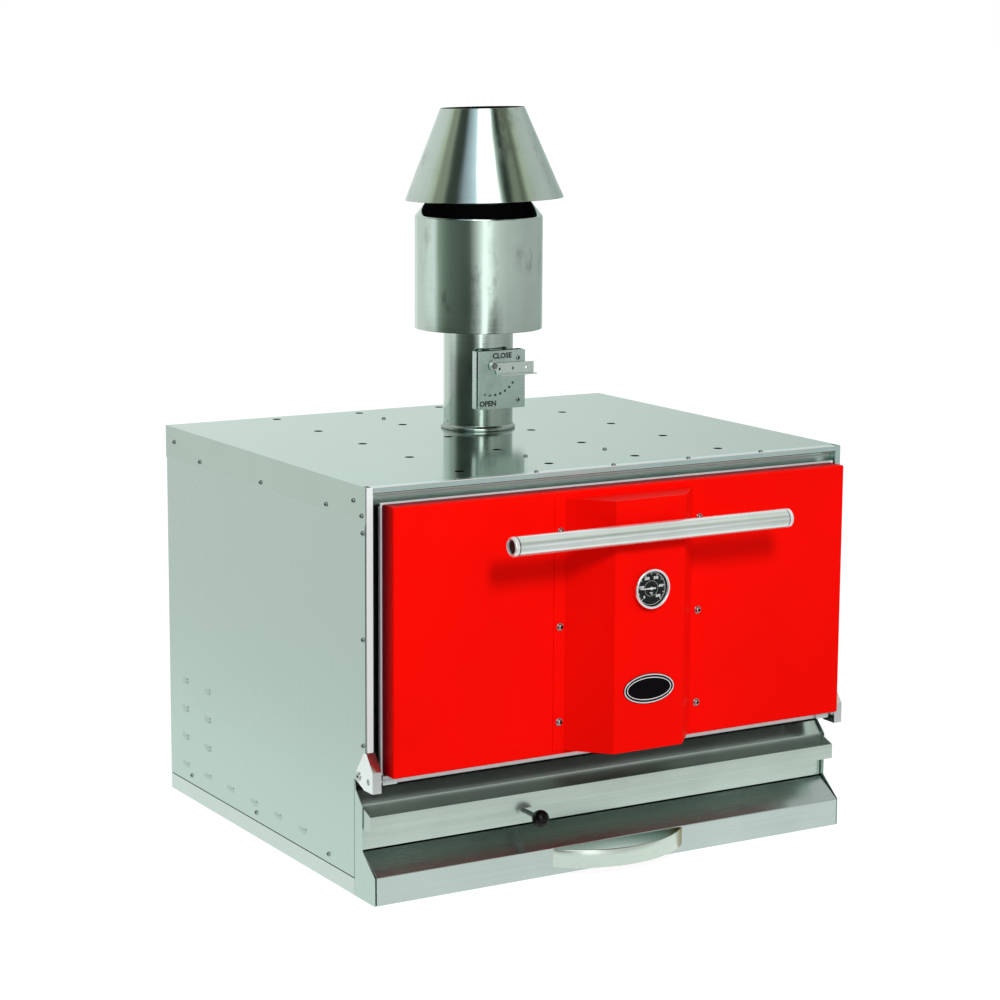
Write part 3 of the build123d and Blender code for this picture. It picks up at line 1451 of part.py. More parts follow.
# Damper: disc with its sleeve, off-centre shaft and lever
with BuildPart() as damper_disc:
    with BuildSketch(Plane.XY.offset(damper_z - damper_disc_thickness / 2)):
        with Locations((flue_x, flue_y)):
            Circle(damper_disc_radius)
    extrude(amount=damper_disc_thickness)
    with BuildSketch(Plane.XZ.offset(-flue_y)):
        with Locations((shaft_x, damper_z)):
            Circle(damper_sleeve_dia / 2)
    extrude(amount=damper_disc_radius - damper_sleeve_dia, both=True)
    with BuildSketch(Plane.XZ.offset(-flue_y)):
        with Locations((shaft_x, damper_z)):
            Circle(damper_shaft_dia / 2)
    extrude(amount=flue_radius, both=True, mode=Mode.SUBTRACT)
damper_disc.part.label = "damper_disc"
export_step(damper_disc.part, "parts/damper_disc.step")

lever_rear = lever_front + lever_thickness
shaft_front = lever_front - lever_nut_height - lever_thickness
shaft_end = flue_y + flue_radius + shaft_rear_overrun
with BuildPart() as damper_shaft:
    with BuildSketch(Plane.XZ.offset(-shaft_front)):
        with Locations((shaft_x, damper_z)):
            Circle(damper_shaft_dia / 2)
    extrude(amount=-(shaft_end - shaft_front))
    with BuildSketch(Plane.XZ.offset(-lever_front)):
        with Locations((shaft_x, damper_z)):
            RegularPolygon(radius=lever_nut_dia / 2, side_count=6)
    extrude(amount=lever_nut_height)
    with BuildSketch(Plane.XZ.offset(-lever_rear)):
        with Locations((shaft_x, damper_z)):
            Circle(lever_collar_dia / 2)
    extrude(amount=-(dial_front - lever_rear - face_gap))
damper_shaft.part.label = "damper_shaft"
export_step(damper_shaft.part, "parts/damper_shaft.step")

lever_low_z = damper_z - lever_bottom
lever_hole_places = [
    (shaft_x + lever_hole_first + number * lever_hole_pitch, damper_z + lever_hole_z)
    for number in range(lever_hole_count)
]
with BuildPart() as damper_lever:
    with BuildSketch(Plane.XZ.offset(-lever_rear)):
        with Locations((shaft_x, damper_z)):
            Circle(lever_neck_radius)
        with BuildLine():
            Polyline(
                (shaft_x, damper_z + lever_top),
                (shaft_x + lever_reach, damper_z + lever_top),
                (shaft_x + lever_reach, lever_low_z),
                (shaft_x + lever_neck_radius, lever_low_z),
                (shaft_x + lever_neck_radius / 2, damper_z - lever_neck_radius),
                close=True,
            )
        make_face()
        with Locations((shaft_x, damper_z)):
            Circle(damper_shaft_dia / 2, mode=Mode.SUBTRACT)
        with Locations(*lever_hole_places):
            Circle(lever_hole_dia / 2, mode=Mode.SUBTRACT)
    extrude(amount=lever_thickness)
    with BuildSketch(Plane.XY.offset(lever_low_z)):
        with Locations((shaft_x + (lever_neck_radius + lever_reach) / 2, lever_front - lever_flange / 2)):
            Rectangle(lever_reach - lever_neck_radius, lever_flange)
    extrude(amount=lever_thickness)
damper_lever.part.label = "damper_lever"
export_step(damper_lever.part, "parts/damper_lever.step")

# Screw heads on the cabinet's sides, header and top, and on the damper dial
cap_screws = [(y, cabinet_height - cap_screw_drop) for y in cap_screw_y]
cap_screws += [
    (cap_corner_front, cabinet_height - cap_corner_drop),
    (cabinet_depth - cap_corner_rear, cabinet_height - cap_corner_drop),
]
panel_screws = [(front_screw_y, cabinet_height - drop) for drop in front_screw_drops]
panel_screws += [(y, base_height + base_screw_rise) for y in base_screw_y]
roof_screws = [(sign * roof_screw_x, y) for sign in (-1, 1) for y in roof_screw_y]
header_screws = [
    ((number - (header_screw_count - 1) / 2) * header_screw_pitch, header_return / 2)
    for number in range(header_screw_count)
]
with BuildPart() as cabinet_screws:
    for sign in (-1, 1):
        with BuildSketch(Plane.YZ.offset(sign * half_width)):
            with Locations(*cap_screws):
                Circle(side_head_dia / 2)
        extrude(amount=sign * side_head_height)
        with BuildSketch(Plane.YZ.offset(sign * side_outer)):
            with Locations(*panel_screws):
                Circle(side_head_dia / 2)
        extrude(amount=sign * side_head_height)
    with BuildSketch(Plane.XY.offset(cabinet_height)):
        with Locations(*header_screws, *roof_screws):
            Circle(side_head_dia / 2)
    extrude(amount=side_head_height)
    with BuildSketch(Plane.XZ.offset(-dial_front)):
        with Locations(*dial_screw_places):
            Circle(dial_spacer_dia / 2)
    extrude(amount=dial_screw_head_height)
cabinet_screws.part.label = "cabinet_screws"
export_step(cabinet_screws.part, "parts/cabinet_screws.step")
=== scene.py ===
"""Looks of a charcoal grill oven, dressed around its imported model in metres."""

import logging
import math
from dataclasses import dataclass, field
from enum import Enum
from typing import Callable, Sequence, Union

import bmesh
import bpy
from mathutils import Matrix, Vector

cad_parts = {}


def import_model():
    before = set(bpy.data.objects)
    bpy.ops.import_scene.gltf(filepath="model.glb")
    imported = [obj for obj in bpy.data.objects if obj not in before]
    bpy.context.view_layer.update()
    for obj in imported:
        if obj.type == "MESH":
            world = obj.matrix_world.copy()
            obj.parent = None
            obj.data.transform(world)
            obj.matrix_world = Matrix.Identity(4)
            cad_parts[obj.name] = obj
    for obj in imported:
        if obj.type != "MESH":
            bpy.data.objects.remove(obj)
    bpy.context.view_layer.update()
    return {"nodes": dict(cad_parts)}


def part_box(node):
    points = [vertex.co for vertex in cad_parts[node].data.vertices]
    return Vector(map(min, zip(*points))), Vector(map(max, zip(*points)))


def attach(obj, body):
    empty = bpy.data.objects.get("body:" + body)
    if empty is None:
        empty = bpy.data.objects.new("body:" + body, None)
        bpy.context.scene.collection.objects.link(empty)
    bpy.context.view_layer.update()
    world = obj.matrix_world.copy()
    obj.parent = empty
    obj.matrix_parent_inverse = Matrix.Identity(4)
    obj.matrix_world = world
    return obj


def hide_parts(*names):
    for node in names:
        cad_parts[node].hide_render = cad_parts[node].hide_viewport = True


LOG = logging.getLogger("grill_oven")

Colour = tuple[float, float, float]
Flat = tuple[float, float]
Number = Union[int, float]
Form = bmesh.types.BMesh
Piece = bpy.types.Object
Pair = tuple[Vector, Vector]

WHITE: Colour = (1.0, 1.0, 1.0)


class Value:
    """A node's output socket that takes part in Python arithmetic."""
    def __init__(self, graph: "Graph", socket: bpy.types.NodeSocket) -> None:
        """Wraps an output socket of a graph."""
        self.graph = graph
        self.socket = socket

    def _math(self, operation: str, first: "Term", second: "Term" = 0.0) -> "Value":
        """Adds one Math node and returns its result."""
        return self.graph.node("ShaderNodeMath", {"operation": operation}, {0: first, 1: second})

    def __add__(self, other: "Term") -> "Value":
        """Returns the sum."""
        return self._math("ADD", self, other)

    __radd__ = __add__

    def __sub__(self, other: "Term") -> "Value":
        """Returns the difference."""
        return self._math("SUBTRACT", self, other)

    def __rsub__(self, other: "Term") -> "Value":
        """Returns the reflected difference."""
        return self._math("SUBTRACT", other, self)

    def __mul__(self, other: "Term") -> "Value":
        """Returns the product."""
        return self._math("MULTIPLY", self, other)

    __rmul__ = __mul__

    def __truediv__(self, other: "Term") -> "Value":
        """Returns the quotient."""
        return self._math("DIVIDE", self, other)

    def larger(self, other: "Term") -> "Value":
        """Returns the larger of the two."""
        return self._math("MAXIMUM", self, other)

    def size(self) -> "Value":
        """Returns the absolute value."""
        return self._math("ABSOLUTE", self)

    def turn(self, other: "Term") -> "Value":
        """Returns the angle whose tangent is self over other."""
        return self._math("ARCTAN2", self, other)

    def step(self, low: float, high: float) -> "Value":
        """Returns a smooth step that leaves 0 at low and reaches 1 at high."""
        limits = {"Value": self, "From Min": low, "From Max": high}
        return self.graph.node("ShaderNodeMapRange", {"interpolation_type": "SMOOTHSTEP"}, limits)


Term = Union[Value, Number]


class Graph:
    """Builds one node tree out of calls and expressions."""

    def __init__(self, tree: bpy.types.NodeTree) -> None:
        """Takes over an emptied tree."""
        self.tree = tree
        tree.nodes.clear()

    def node(
        self,
        kind: str,
        settings: dict | None = None,
        inputs: dict | None = None,
        output: int | str = 0,
    ) -> Value:
        """Adds a node.

        Args:
            kind: The node's type.
            settings: Its settings, with a ramp's stops under "stops".
            inputs: Values or links of its input sockets, by name or number.
            output: The output to hand back.

        Returns:
            That output.
        """
        made = self.tree.nodes.new(kind)
        for name, setting in (settings or {}).items():
            if name == "stops":
                elements = made.color_ramp.elements
                elements.remove(elements[1])
                elements[0].position, elements[0].color = setting[0][0], (*setting[0][1], 1)
                for place, shade in setting[1:]:
                    elements.new(place).color = (*shade, 1)
            else:
                setattr(made, name, setting)
        for name, given in (inputs or {}).items():
            socket = made.inputs[name]
            if isinstance(given, Value):
                self.tree.links.new(given.socket, socket)
            elif isinstance(given, tuple) and len(given) == 3 and socket.type == "RGBA":
                socket.default_value = (*given, 1)
            else:
                socket.default_value = given
        return Value(self, made.outputs[output] if made.outputs else None)

    def blend(self, factor: Term, low: "Value | Colour", high: "Value | Colour") -> Value:
        """Mixes two colours, where the factor is the share of the second one."""
        return self.node("ShaderNodeMix", {"data_type": "RGBA"}, {0: factor, 6: low, 7: high}, output=2)

    def place(self, scale: Colour = (1.0, 1.0, 1.0), shift: Colour = (0.0, 0.0, 0.0)) -> Value:
        """Reads object coordinates, stretched along each axis and moved."""
        point = self.node("ShaderNodeTexCoord", output="Object")
        return self.node("ShaderNodeMapping", {}, {"Vector": point, "Scale": scale, "Location": shift})

    def part(self, vector: Value, axis: str) -> Value:
        """Returns a vector's part along X, Y or Z."""
        return self.node("ShaderNodeSeparateXYZ", {}, {"Vector": vector}, output=axis)

    def ray(self, kind: str) -> Value:
        """Tells whether the ray is a Camera, Glossy or Transmission ray."""
        return self.node("ShaderNodeLightPath", output=f"Is {kind} Ray")

    def noise(self, point: Value, scale: float, detail: float = 2.0, rough: float = 0.5) -> Value:
        """Returns a noise from 0 to 1, with its scale, its octaves and the strength of the small ones."""
        inputs = {"Vector": point, "Scale": scale, "Detail": detail, "Roughness": rough}
        return self.node("ShaderNodeTexNoise", {}, inputs)

    def relief(self, height: Value, depth: float) -> Value:
        """Turns a height into a bumped normal, where depth is the height of a whole unit in metres."""
        return self.node("ShaderNodeBump", {}, {"Strength": 1.0, "Distance": depth, "Height": height})

    def along(self, axis: str, low: float, high: float) -> Value:
        """Returns a smooth step from low to high along one object axis."""
        return self.part(self.place(), axis).step(low, high)

    def choose(self, factor: Term, first: Value, second: Value) -> Value:
        """Mixes two shaders, where the factor is the share of the second one."""
        return self.node("ShaderNodeMixShader", {}, {0: factor, 1: first, 2: second})

    def seen(self) -> Value:
        """Tells whether the camera sees this spot, straight or through the glass."""
        return self.ray("Camera").larger(self.ray("Transmission"))

    def given(self, name: str) -> Value:
        """Returns one of the inputs of a Geometry Nodes tree."""
        return self.node("NodeGroupInput", output=name)

    def lit(self, kind: str, colour: "Value | Colour", strength: float = 1.0) -> Value:
        """Returns an Emission or Background shader of one colour."""
        return self.node(f"ShaderNode{kind}", {}, {"Color": colour, "Strength": strength})

    def matt(self, colour: "Value | Colour") -> Value:
        """Returns a matt shader of one colour."""
        return self.node("ShaderNodeBsdfDiffuse", {}, {"Color": colour})

    def surface(self, inputs: dict) -> None:
        """Ends the tree in one principled surface with these values or links."""
        shader = self.node("ShaderNodeBsdfPrincipled", {}, inputs)
        self.node("ShaderNodeOutputMaterial", {}, {"Surface": shader})


def dimmed(tone: Colour, share: float) -> Colour:
    """Returns a share of a colour, or more than all of it, up to 1."""
    return tuple(min(share * part, 1.0) for part in tone)


class Grain(Enum):
    """Which way a sheet is brushed, as the stretch of its streaks along each axis."""

    ALONG_X = (2.5, 420.0, 420.0)
    ALONG_Y = (420.0, 2.5, 420.0)
    ALONG_Z = (420.0, 420.0, 2.5)
    ROUND_Z = (5.0, 5.0, 420.0)


@dataclass(frozen=True)
class Finish:
    """What every finish shares.

    Attributes:
        slot: The record's material slot.
    """

    slot: str

    def paint(self, graph: Graph) -> None:
        """Builds the shader tree."""
        raise NotImplementedError

    def material(self) -> bpy.types.Material:
        """Returns the finish's material, made once."""
        name = f"{self.slot}_finish"
        made = bpy.data.materials.get(name)
        if made is None:
            made = bpy.data.materials.new(name)
            made.use_nodes = True
            self.paint(Graph(made.node_tree))
        return made


@dataclass(frozen=True)
class SteelFinish(Finish):
    """Stainless steel sheet or bar.

    Attributes:
        tone: The metal's colour.
        rough: Its mean roughness.
        grain: The way that it is brushed.
        streak: How strongly the brushing shows.
        cloud: How much the tone drifts over the sheet.
        ripple: The depth of slow waves in the sheet, in metres.
        stain: How strong its spots and smudges are.
        metal: How metallic it is, less than 1 where a pale satin sheet scatters the light.
        painted_span: Where painted light is laid on, as an axis, the place where that starts and the place
            where
            it is full: painted shade on some finishes, a painted reflection on others.
        painted_tone: The painted colour laid there.
    """

    tone: Colour = (0.50, 0.63, 0.57)
    rough: float = 0.26
    grain: Grain = Grain.ALONG_X
    streak: float = 0.10
    cloud: float = 0.10
    ripple: float = 0.0
    stain: float = 0.0
    metal: float = 1.0
    painted_span: tuple[str, float, float] | None = None
    painted_tone: Colour = (0.006, 0.007, 0.006)

    def paint(self, graph: Graph) -> None:
        """Builds brushed streaks, slow clouds, spots and waves, and painted light along one axis where a span
        is given.
        """
        streak = graph.noise(graph.place(self.grain.value), 1.0, 3.0, 0.6)
        point = graph.place()
        cloud = graph.noise(point, 7.0, 4.0, 0.55)
        shade = 0.5 + (streak - 0.5) * (5 * self.streak) + (cloud - 0.5) * (5 * self.cloud)
        colour = graph.blend(shade, dimmed(self.tone, 0.8), dimmed(self.tone, 1.2))
        rough = self.rough + (streak - 0.5) * (self.rough * 0.5) + (cloud - 0.5) * (self.rough * 0.5)
        height = streak * 0.000012
        if self.ripple:
            height = height + graph.noise(graph.place((1.0, 1.0, 0.35)), 14.0, 1.0, 0.4) * self.ripple
        if self.stain:
            moved = graph.place((1.0, 1.0, 0.45), (3.0, 1.0, 2.0))
            spot = graph.noise(moved, 24.0, 5.0, 0.62).step(0.50, 0.74)
            spot = spot * graph.noise(point, 9.0, 1.0).step(0.42, 0.66) * self.stain
            colour = graph.blend(spot, colour, dimmed(self.tone, 0.40))
            rough = rough + spot * 0.25
        # Painted light: blends towards the painted colour along one axis, painted shade on some finishes and
        # a painted reflection on others.
        if self.painted_span:
            colour = graph.blend(graph.along(*self.painted_span), colour, self.painted_tone)
        relief = graph.relief(height, 1.0)
        graph.surface({"Base Color": colour, "Metallic": self.metal, "Roughness": rough, "Normal": relief})


@dataclass(frozen=True)
class EnamelFinish(Finish):
    """Baked enamel with a faint orange peel.

    Attributes:
        tone: The paint's colour.
        rough: Its roughness.
        level: How strong its plain reflection is.
        rear: Where painted shade darkens its sides towards the frame, along Y.
        painted_shade: The colour of that painted shade.
    """

    tone: Colour = (0.965, 0.0032, 0.0007)
    rough: float = 0.36
    level: float = 0.02
    rear: Flat = (-0.044, -0.008)
    painted_shade: Colour = (0.130, 0.0, 0.005)

    def paint(self, graph: Graph) -> None:
        """Builds the paint film, its drift of tone, its orange peel and the painted shade on its sides near
        the frame.
        """
        point = graph.place()
        drift = graph.noise(point, 5.0, 3.0, 0.5)
        peel = graph.noise(point, 520.0, 2.0, 0.5)
        colour = graph.blend(drift.step(0.25, 0.75), dimmed(self.tone, 0.93), self.tone)
        # Painted shade: the sides darken towards the frame along Y.
        colour = graph.blend(graph.along("Y", *self.rear), colour, self.painted_shade)
        inputs = {"Base Color": colour, "Roughness": self.rough + (drift - 0.5) * 0.08}
        graph.surface(inputs | {"Specular IOR Level": self.level, "Normal": graph.relief(peel, 0.000012)})


@dataclass(frozen=True)
class CoarseFinish(Finish):
    """A rough, speckled body such as brick, cast iron, mineral wool or baked steel.

    Attributes:
        dark: The colour of its hollows.
        pale: The colour of its raised spots.
        scale: The scale of its speckle.
        depth: The depth of its pits, in metres.
        rough: Its roughness.
        metal: How metallic it is.
    """

    dark: Colour = (0.02, 0.02, 0.02)
    pale: Colour = (0.06, 0.06, 0.06)
    scale: float = 220.0
    depth: float = 0.0003
    rough: float = 0.85
    metal: float = 0.0

    def paint(self, graph: Graph) -> None:
        """Builds speckle over slow patches."""
        point = graph.place()
        speckle = graph.noise(point, self.scale, 4.0, 0.65)
        patch = graph.noise(point, 11.0, 3.0, 0.6)
        shade = speckle.step(0.3, 0.7) * 0.6 + patch.step(0.3, 0.7) * 0.4
        inputs = {"Base Color": graph.blend(shade, self.dark, self.pale), "Metallic": self.metal}
        inputs |= {"Roughness": self.rough + (speckle - 0.5) * 0.2, "Specular IOR Level": 0.3}
        graph.surface(inputs | {"Normal": graph.relief(speckle, self.depth)})


@dataclass(frozen=True)
class PlainFinish(Finish):
    """Moulded plastic or paint with a fine texture.

    Attributes:
        tone: Its colour.
        rough: Its roughness.
        level: How strong its plain reflection is.
        clear: The weight of a clear coat.
    """

    tone: Colour = (0.01, 0.01, 0.01)
    rough: float = 0.3
    level: float = 0.5
    clear: float = 0.0

    def paint(self, graph: Graph) -> None:
        """Builds the moulded surface."""
        fine = graph.noise(graph.place(), 900.0, 2.0, 0.6)
        colour = graph.blend(fine, dimmed(self.tone, 0.85), self.tone)
        inputs = {"Base Color": colour, "Roughness": self.rough + (fine - 0.5) * 0.1}
        inputs |= {"Specular IOR Level": self.level, "Coat Weight": self.clear}
        graph.surface(inputs | {"Normal": graph.relief(fine, 0.00001)})


@dataclass(frozen=True)
class GlassFinish(Finish):
    """A thin clear glass that shows what lies behind it.

    Attributes:
        tone: Its colour.
        film: How much of it is seen head on.
        rim: How much more of it is seen at a glancing angle.
    """

    tone: Colour = (0.30, 0.36, 0.34)
    film: float = 0.01
    rim: float = 0.05

    def paint(self, graph: Graph) -> None:
        """Builds the pane, more seen towards its rim."""
        fresnel = graph.node("ShaderNodeFresnel", {}, {"IOR": 1.45})
        rough = 0.04 + graph.noise(graph.place(), 60.0, 2.0) * 0.04
        graph.surface({"Base Color": self.tone, "Roughness": rough, "Alpha": self.film + fresnel * self.rim})


FINISHES: dict[str, Finish] = {
    finish.slot: finish
    for finish in (
        SteelFinish("cabinet_sheet", grain=Grain.ALONG_Z, streak=0.03, cloud=0.05, rough=0.30),
        SteelFinish("base_sheet", tone=(0.58, 0.68, 0.64), grain=Grain.ALONG_Y, streak=0.04),
        SteelFinish("top_sheet", tone=(0.46, 0.58, 0.51), rough=0.13, streak=0.03, cloud=0.06),
        # Painted highlight: a matt near-white, not metal, standing for the bright reflection on the left
        # trim.
        SteelFinish("trim_sheet", tone=(0.83, 1.0, 0.96), rough=0.45, streak=0.02, cloud=0.03, metal=0.0),
        SteelFinish(
            "inner_sheet",
            tone=(0.62, 0.80, 0.73),
            rough=0.32,
            # Painted shade: the frame turns near black below the door's top edge, standing for the shade in
            # the gap behind the door.
            painted_span=("Z", 0.645, 0.637),
            painted_tone=(0.045, 0.05, 0.05),
        ),
        SteelFinish(
            "gutter_sheet",
            tone=(0.53, 0.63, 0.57),
            rough=0.22,
            streak=0.14,
            cloud=0.18,
            metal=0.80,
            # Painted shade: the gutter's rear wall and ledge under the door turn black, standing for the
            # shade there.
            painted_span=("Y", 0.054, 0.059),
        ),
        SteelFinish("bracket_steel", tone=(0.82, 0.94, 0.89), rough=0.16, cloud=0.10),
        SteelFinish("bolt_steel", tone=(0.55, 0.58, 0.57), rough=0.22),
        SteelFinish("screw_steel", tone=(0.30, 0.33, 0.32), rough=0.22),
        CoarseFinish("chamber_steel", (0.10, 0.085, 0.07), (0.24, 0.21, 0.18), 90.0, 0.0001, 0.55, 0.85),
        CoarseFinish("cast_grate", (0.030, 0.030, 0.030), (0.075, 0.070, 0.065), 260.0, 0.0004, 0.65, 0.5),
        SteelFinish("grill_steel", tone=(0.50, 0.50, 0.47), rough=0.30, cloud=0.2, grain=Grain.ALONG_Y),
        CoarseFinish("brick", (0.42, 0.33, 0.22), (0.66, 0.56, 0.42), 180.0, 0.0006, 0.92),
        CoarseFinish("wool", (0.008, 0.008, 0.007), (0.020, 0.019, 0.017), 140.0, 0.0015, 0.95),
        CoarseFinish("gasket_rope", (0.16, 0.16, 0.15), (0.42, 0.41, 0.38), 330.0, 0.0008, 0.9),
        EnamelFinish("red_enamel"),
        SteelFinish("handle_steel", tone=(0.78, 0.88, 0.82), rough=0.16, streak=0.45, cloud=0.30, metal=0.65),
        SteelFinish("bezel_chrome", tone=(0.84, 0.87, 0.86), rough=0.10, streak=0.03, cloud=0.04),
        PlainFinish("dial_face", (0.005, 0.010, 0.009), 0.5, 0.1),
        PlainFinish("pointer_paint", (0.82, 0.84, 0.82), 0.4),
        GlassFinish("clear_glass"),
        PlainFinish("plaque", (0.003, 0.002, 0.003), 0.35, 0.05),
        SteelFinish(
            "flue_steel",
            tone=(0.52, 0.64, 0.57),
            rough=0.09,
            grain=Grain.ROUND_Z,
            streak=0.05,
            cloud=0.12,
            ripple=0.0020,
            stain=0.8,
        ),
        SteelFinish("collar_steel", tone=(0.34, 0.41, 0.37), rough=0.06, streak=0.02),
        SteelFinish("damper_steel", tone=(0.56, 0.71, 0.65), rough=0.28, stain=0.3),
        SteelFinish("drawer_sheet", tone=(0.51, 0.585, 0.565), rough=0.24, streak=0.08, cloud=0.12),
        SteelFinish(
            "bow_steel",
            tone=(0.60, 0.68, 0.61),
            rough=0.18,
            streak=0.10,
            # Painted reflection: the bow's right end is tinted amber, standing for the warm colour that it
            # mirrors there.
            painted_span=("X", 0.098, 0.126),
            painted_tone=(0.46, 0.30, 0.09),
        ),
        PlainFinish("knob_plastic", (0.002, 0.002, 0.002), 0.10, 0.12, 0.1),
        SteelFinish("control_steel", tone=(0.26, 0.28, 0.27), rough=0.25, grain=Grain.ALONG_Y),
    )
}
PRINT = PlainFinish("dial_face_print", (0.80, 0.83, 0.81), 0.45)
MARK = PlainFinish("damper_mark", (0.012, 0.016, 0.014), 0.6)
HEADER = SteelFinish("trim_sheet_grey", tone=(0.66, 0.90, 0.82), rough=0.20, streak=0.12)
PAN = SteelFinish("trim_sheet_pan", tone=(0.84, 0.92, 0.92), rough=0.35, metal=0.3)
# Painted highlight: a paler, half-matt copy of the chrome, for the rims, the handle caps and the header's
# edge strip.
HIGHLIGHT_CHROME = SteelFinish(
    "bezel_chrome_painted_highlight", tone=(0.94, 0.95, 0.95), rough=0.16, streak=0.02, cloud=0.03, metal=0.45
)
COVER_SCREW = SteelFinish("screw_steel_cover", tone=(0.42, 0.38, 0.38), rough=0.16)
LEVER = SteelFinish("damper_steel_lever", tone=(0.70, 0.82, 0.76), rough=0.22)
# Painted shade: flat black laid on socket floors, seam backings, the handle caps' recesses and grooves, and
# the header's seam.
SHADE_BLACK = PlainFinish("painted_shade_black", (0.004, 0.004, 0.004), 0.5, 0.2)
SOOT = CoarseFinish("flue_soot", (0.0015, 0.0015, 0.0015), (0.006, 0.006, 0.005), 120.0, 0.0002, 0.9)


def rounded(corners: Sequence[Flat], radius: float | Sequence[float], steps: int = 3) -> list[Flat]:
    """Rounds the corners of a closed outline.

    Args:
        corners: The outline's corners in order.
        radius: One radius, or one for each corner.
        steps: The runs that each round corner is made of.

    Returns:
        The outline with arcs in place of its corners.
    """
    made: list[Flat] = []
    count = len(corners)
    radii = list(radius) if isinstance(radius, (list, tuple)) else [radius] * count
    for number, corner in enumerate(corners):
        here = Vector(corner)
        to_last = Vector(corners[number - 1]) - here
        to_next = Vector(corners[(number + 1) % count]) - here
        reach = radii[number]
        if reach <= 0:
            made.append((here.x, here.y))
            continue
        half = to_last.angle(to_next) / 2
        cut = min(reach / math.tan(half), 0.45 * to_last.length, 0.45 * to_next.length)
        start, end = here + cut * to_last.normalized(), here + cut * to_next.normalized()
        for index in range(steps + 1):
            share = index / steps
            point = start * (1 - share) ** 2 + here * 2 * share * (1 - share) + end * share**2
            made.append((point.x, point.y))
    return made


def braced(outline: Sequence[Flat], reach: float = 0.001) -> list[Flat]:
    """Adds points near both ends of the long sides, so that these sides shade flat.

    Args:
        outline: The closed outline.
        reach: The distance from the ends.

    Returns:
        The outline with the added points.
    """
    points = []
    for start, end in zip(outline, [*outline[1:], outline[0]]):
        points.append(start)
        length = math.dist(start, end)
        if length > 8 * reach:
            near, far = Vector(start), Vector(end)
            points += [tuple(near.lerp(far, reach / length)), tuple(far.lerp(near, reach / length))]
    return points


def band(inner: float, outer: float, low: float, high: float) -> list[Flat]:
    """Returns the outline of a plain ring, or of a disc where the inner radius is 0."""
    return [(inner, low), (outer, low), (outer, high), (inner, high)]


def lathe(
    form: Form,
    outline: Sequence[Flat],
    centre: Vector,
    axis: Vector,
    turns: int = 72,
) -> None:
    """Turns a closed outline round an axis.

    Args:
        form: The mesh that it joins.
        outline: Pairs of radius and height along the axis.
        centre: The point on the axis at height 0.
        axis: The axis.
        turns: The number of sides.
    """
    axis = axis.normalized()
    side = axis.orthogonal().normalized()
    other = axis.cross(side)
    rings = []
    for radius, height in outline:
        middle = centre + axis * height
        if radius < 1e-7:
            rings.append([form.verts.new(middle)])
            continue
        ring = []
        for index in range(turns):
            angle = math.tau * index / turns
            ring.append(form.verts.new(middle + radius * (math.cos(angle) * side + math.sin(angle) * other)))
        rings.append(ring)
    for first, second in zip(rings, rings[1:] + rings[:1]):
        if len(first) == 1 and len(second) == 1:
            continue
        for index in range(turns):
            after = (index + 1) % turns
            if len(first) == 1:
                form.faces.new((first[0], second[index], second[after]))
            elif len(second) == 1:
                form.faces.new((first[index], second[0], first[after]))
            else:
                form.faces.new((first[index], second[index], second[after], first[after]))


def loft(form: Form, loops: Sequence[Sequence[Vector]], closed: bool = False) -> None:
    """Joins loops of equal length into a closed skin.

    Args:
        form: The mesh that it joins.
        loops: The loops in order.
        closed: Whether the last loop joins the first one, with no end caps.
    """
    rows = [[form.verts.new(point) for point in loop] for loop in loops]
    count = len(rows[0])
    pairs = list(zip(rows, rows[1:]))
    if closed:
        pairs.append((rows[-1], rows[0]))
    else:
        form.faces.new(rows[0])
        form.faces.new(list(reversed(rows[-1])))
    for first, second in pairs:
        for index in range(count):
            after = (index + 1) % count
            form.faces.new((first[index], second[index], second[after], first[after]))


def slab(
    form: Form,
    outline: Sequence[Flat],
    near: float,
    far: float,
    rim: float,
    lay: Callable[[float, float, float], Vector],
) -> None:
    """Makes a plate from an outline, with its front rim eased.

    Args:
        form: The mesh that it joins.
        outline: The outline, in the plate's own plane.
        near: The height of the plate's back.
        far: The height of its front.
        rim: How far the front rim is eased.
        lay: Turns a plane point and a height into a place.
    """
    middle = Vector((sum(p[0] for p in outline), sum(p[1] for p in outline))) / len(outline)
    reach = max((Vector(p) - middle).length for p in outline)
    loops = [[lay(u, v, near) for u, v in outline]]
    step = math.copysign(rim, far - near)
    for inset, height in ((0.0, far - step), (0.3 * rim, far - 0.3 * step), (rim, far)):
        share = 1 - inset / reach
        drawn = [(middle.x + (u - middle.x) * share, middle.y + (v - middle.y) * share) for u, v in outline]
        loops.append([lay(u, v, height) for u, v in drawn])
    loft(form, loops)


def solid(name: str, form: Form, smooth: float | None = 32.0) -> Piece:
    """Turns a mesh in the making into an object at the origin.

    Args:
        name: The piece's name.
        form: The mesh, which is freed.
        smooth: The angle up to which faces shade smoothly, or None for flat faces.

    Returns:
        The new object.
    """
    bmesh.ops.remove_doubles(form, verts=form.verts, dist=1e-7)
    bmesh.ops.recalc_face_normals(form, faces=form.faces)
    mesh = bpy.data.meshes.new(name)
    form.to_mesh(mesh)
    form.free()
    return shown(name, mesh, smooth)


def linked(name: str, data: bpy.types.ID) -> Piece:
    """Makes an object of this data and links it to the scene."""
    made = bpy.data.objects.new(name, data)
    bpy.context.scene.collection.objects.link(made)
    return made


def shown(name: str, mesh: bpy.types.Mesh, smooth: float | None = None) -> Piece:
    """Links a mesh to the scene.

    Args:
        name: The object's name.
        mesh: Its mesh.
        smooth: The angle up to which faces shade smoothly, or None to leave them.

    Returns:
        The new object.
    """
    if smooth is not None:
        mesh.shade_smooth()
        mesh.set_sharp_from_angle(angle=math.radians(smooth))
    return linked(name, mesh)


def settled(source: Piece) -> bpy.types.Mesh:
    """Returns a new mesh of an object as its modifiers or its text shape leave it."""
    bpy.context.view_layer.update()
    return bpy.data.meshes.new_from_object(source.evaluated_get(bpy.context.evaluated_depsgraph_get()))


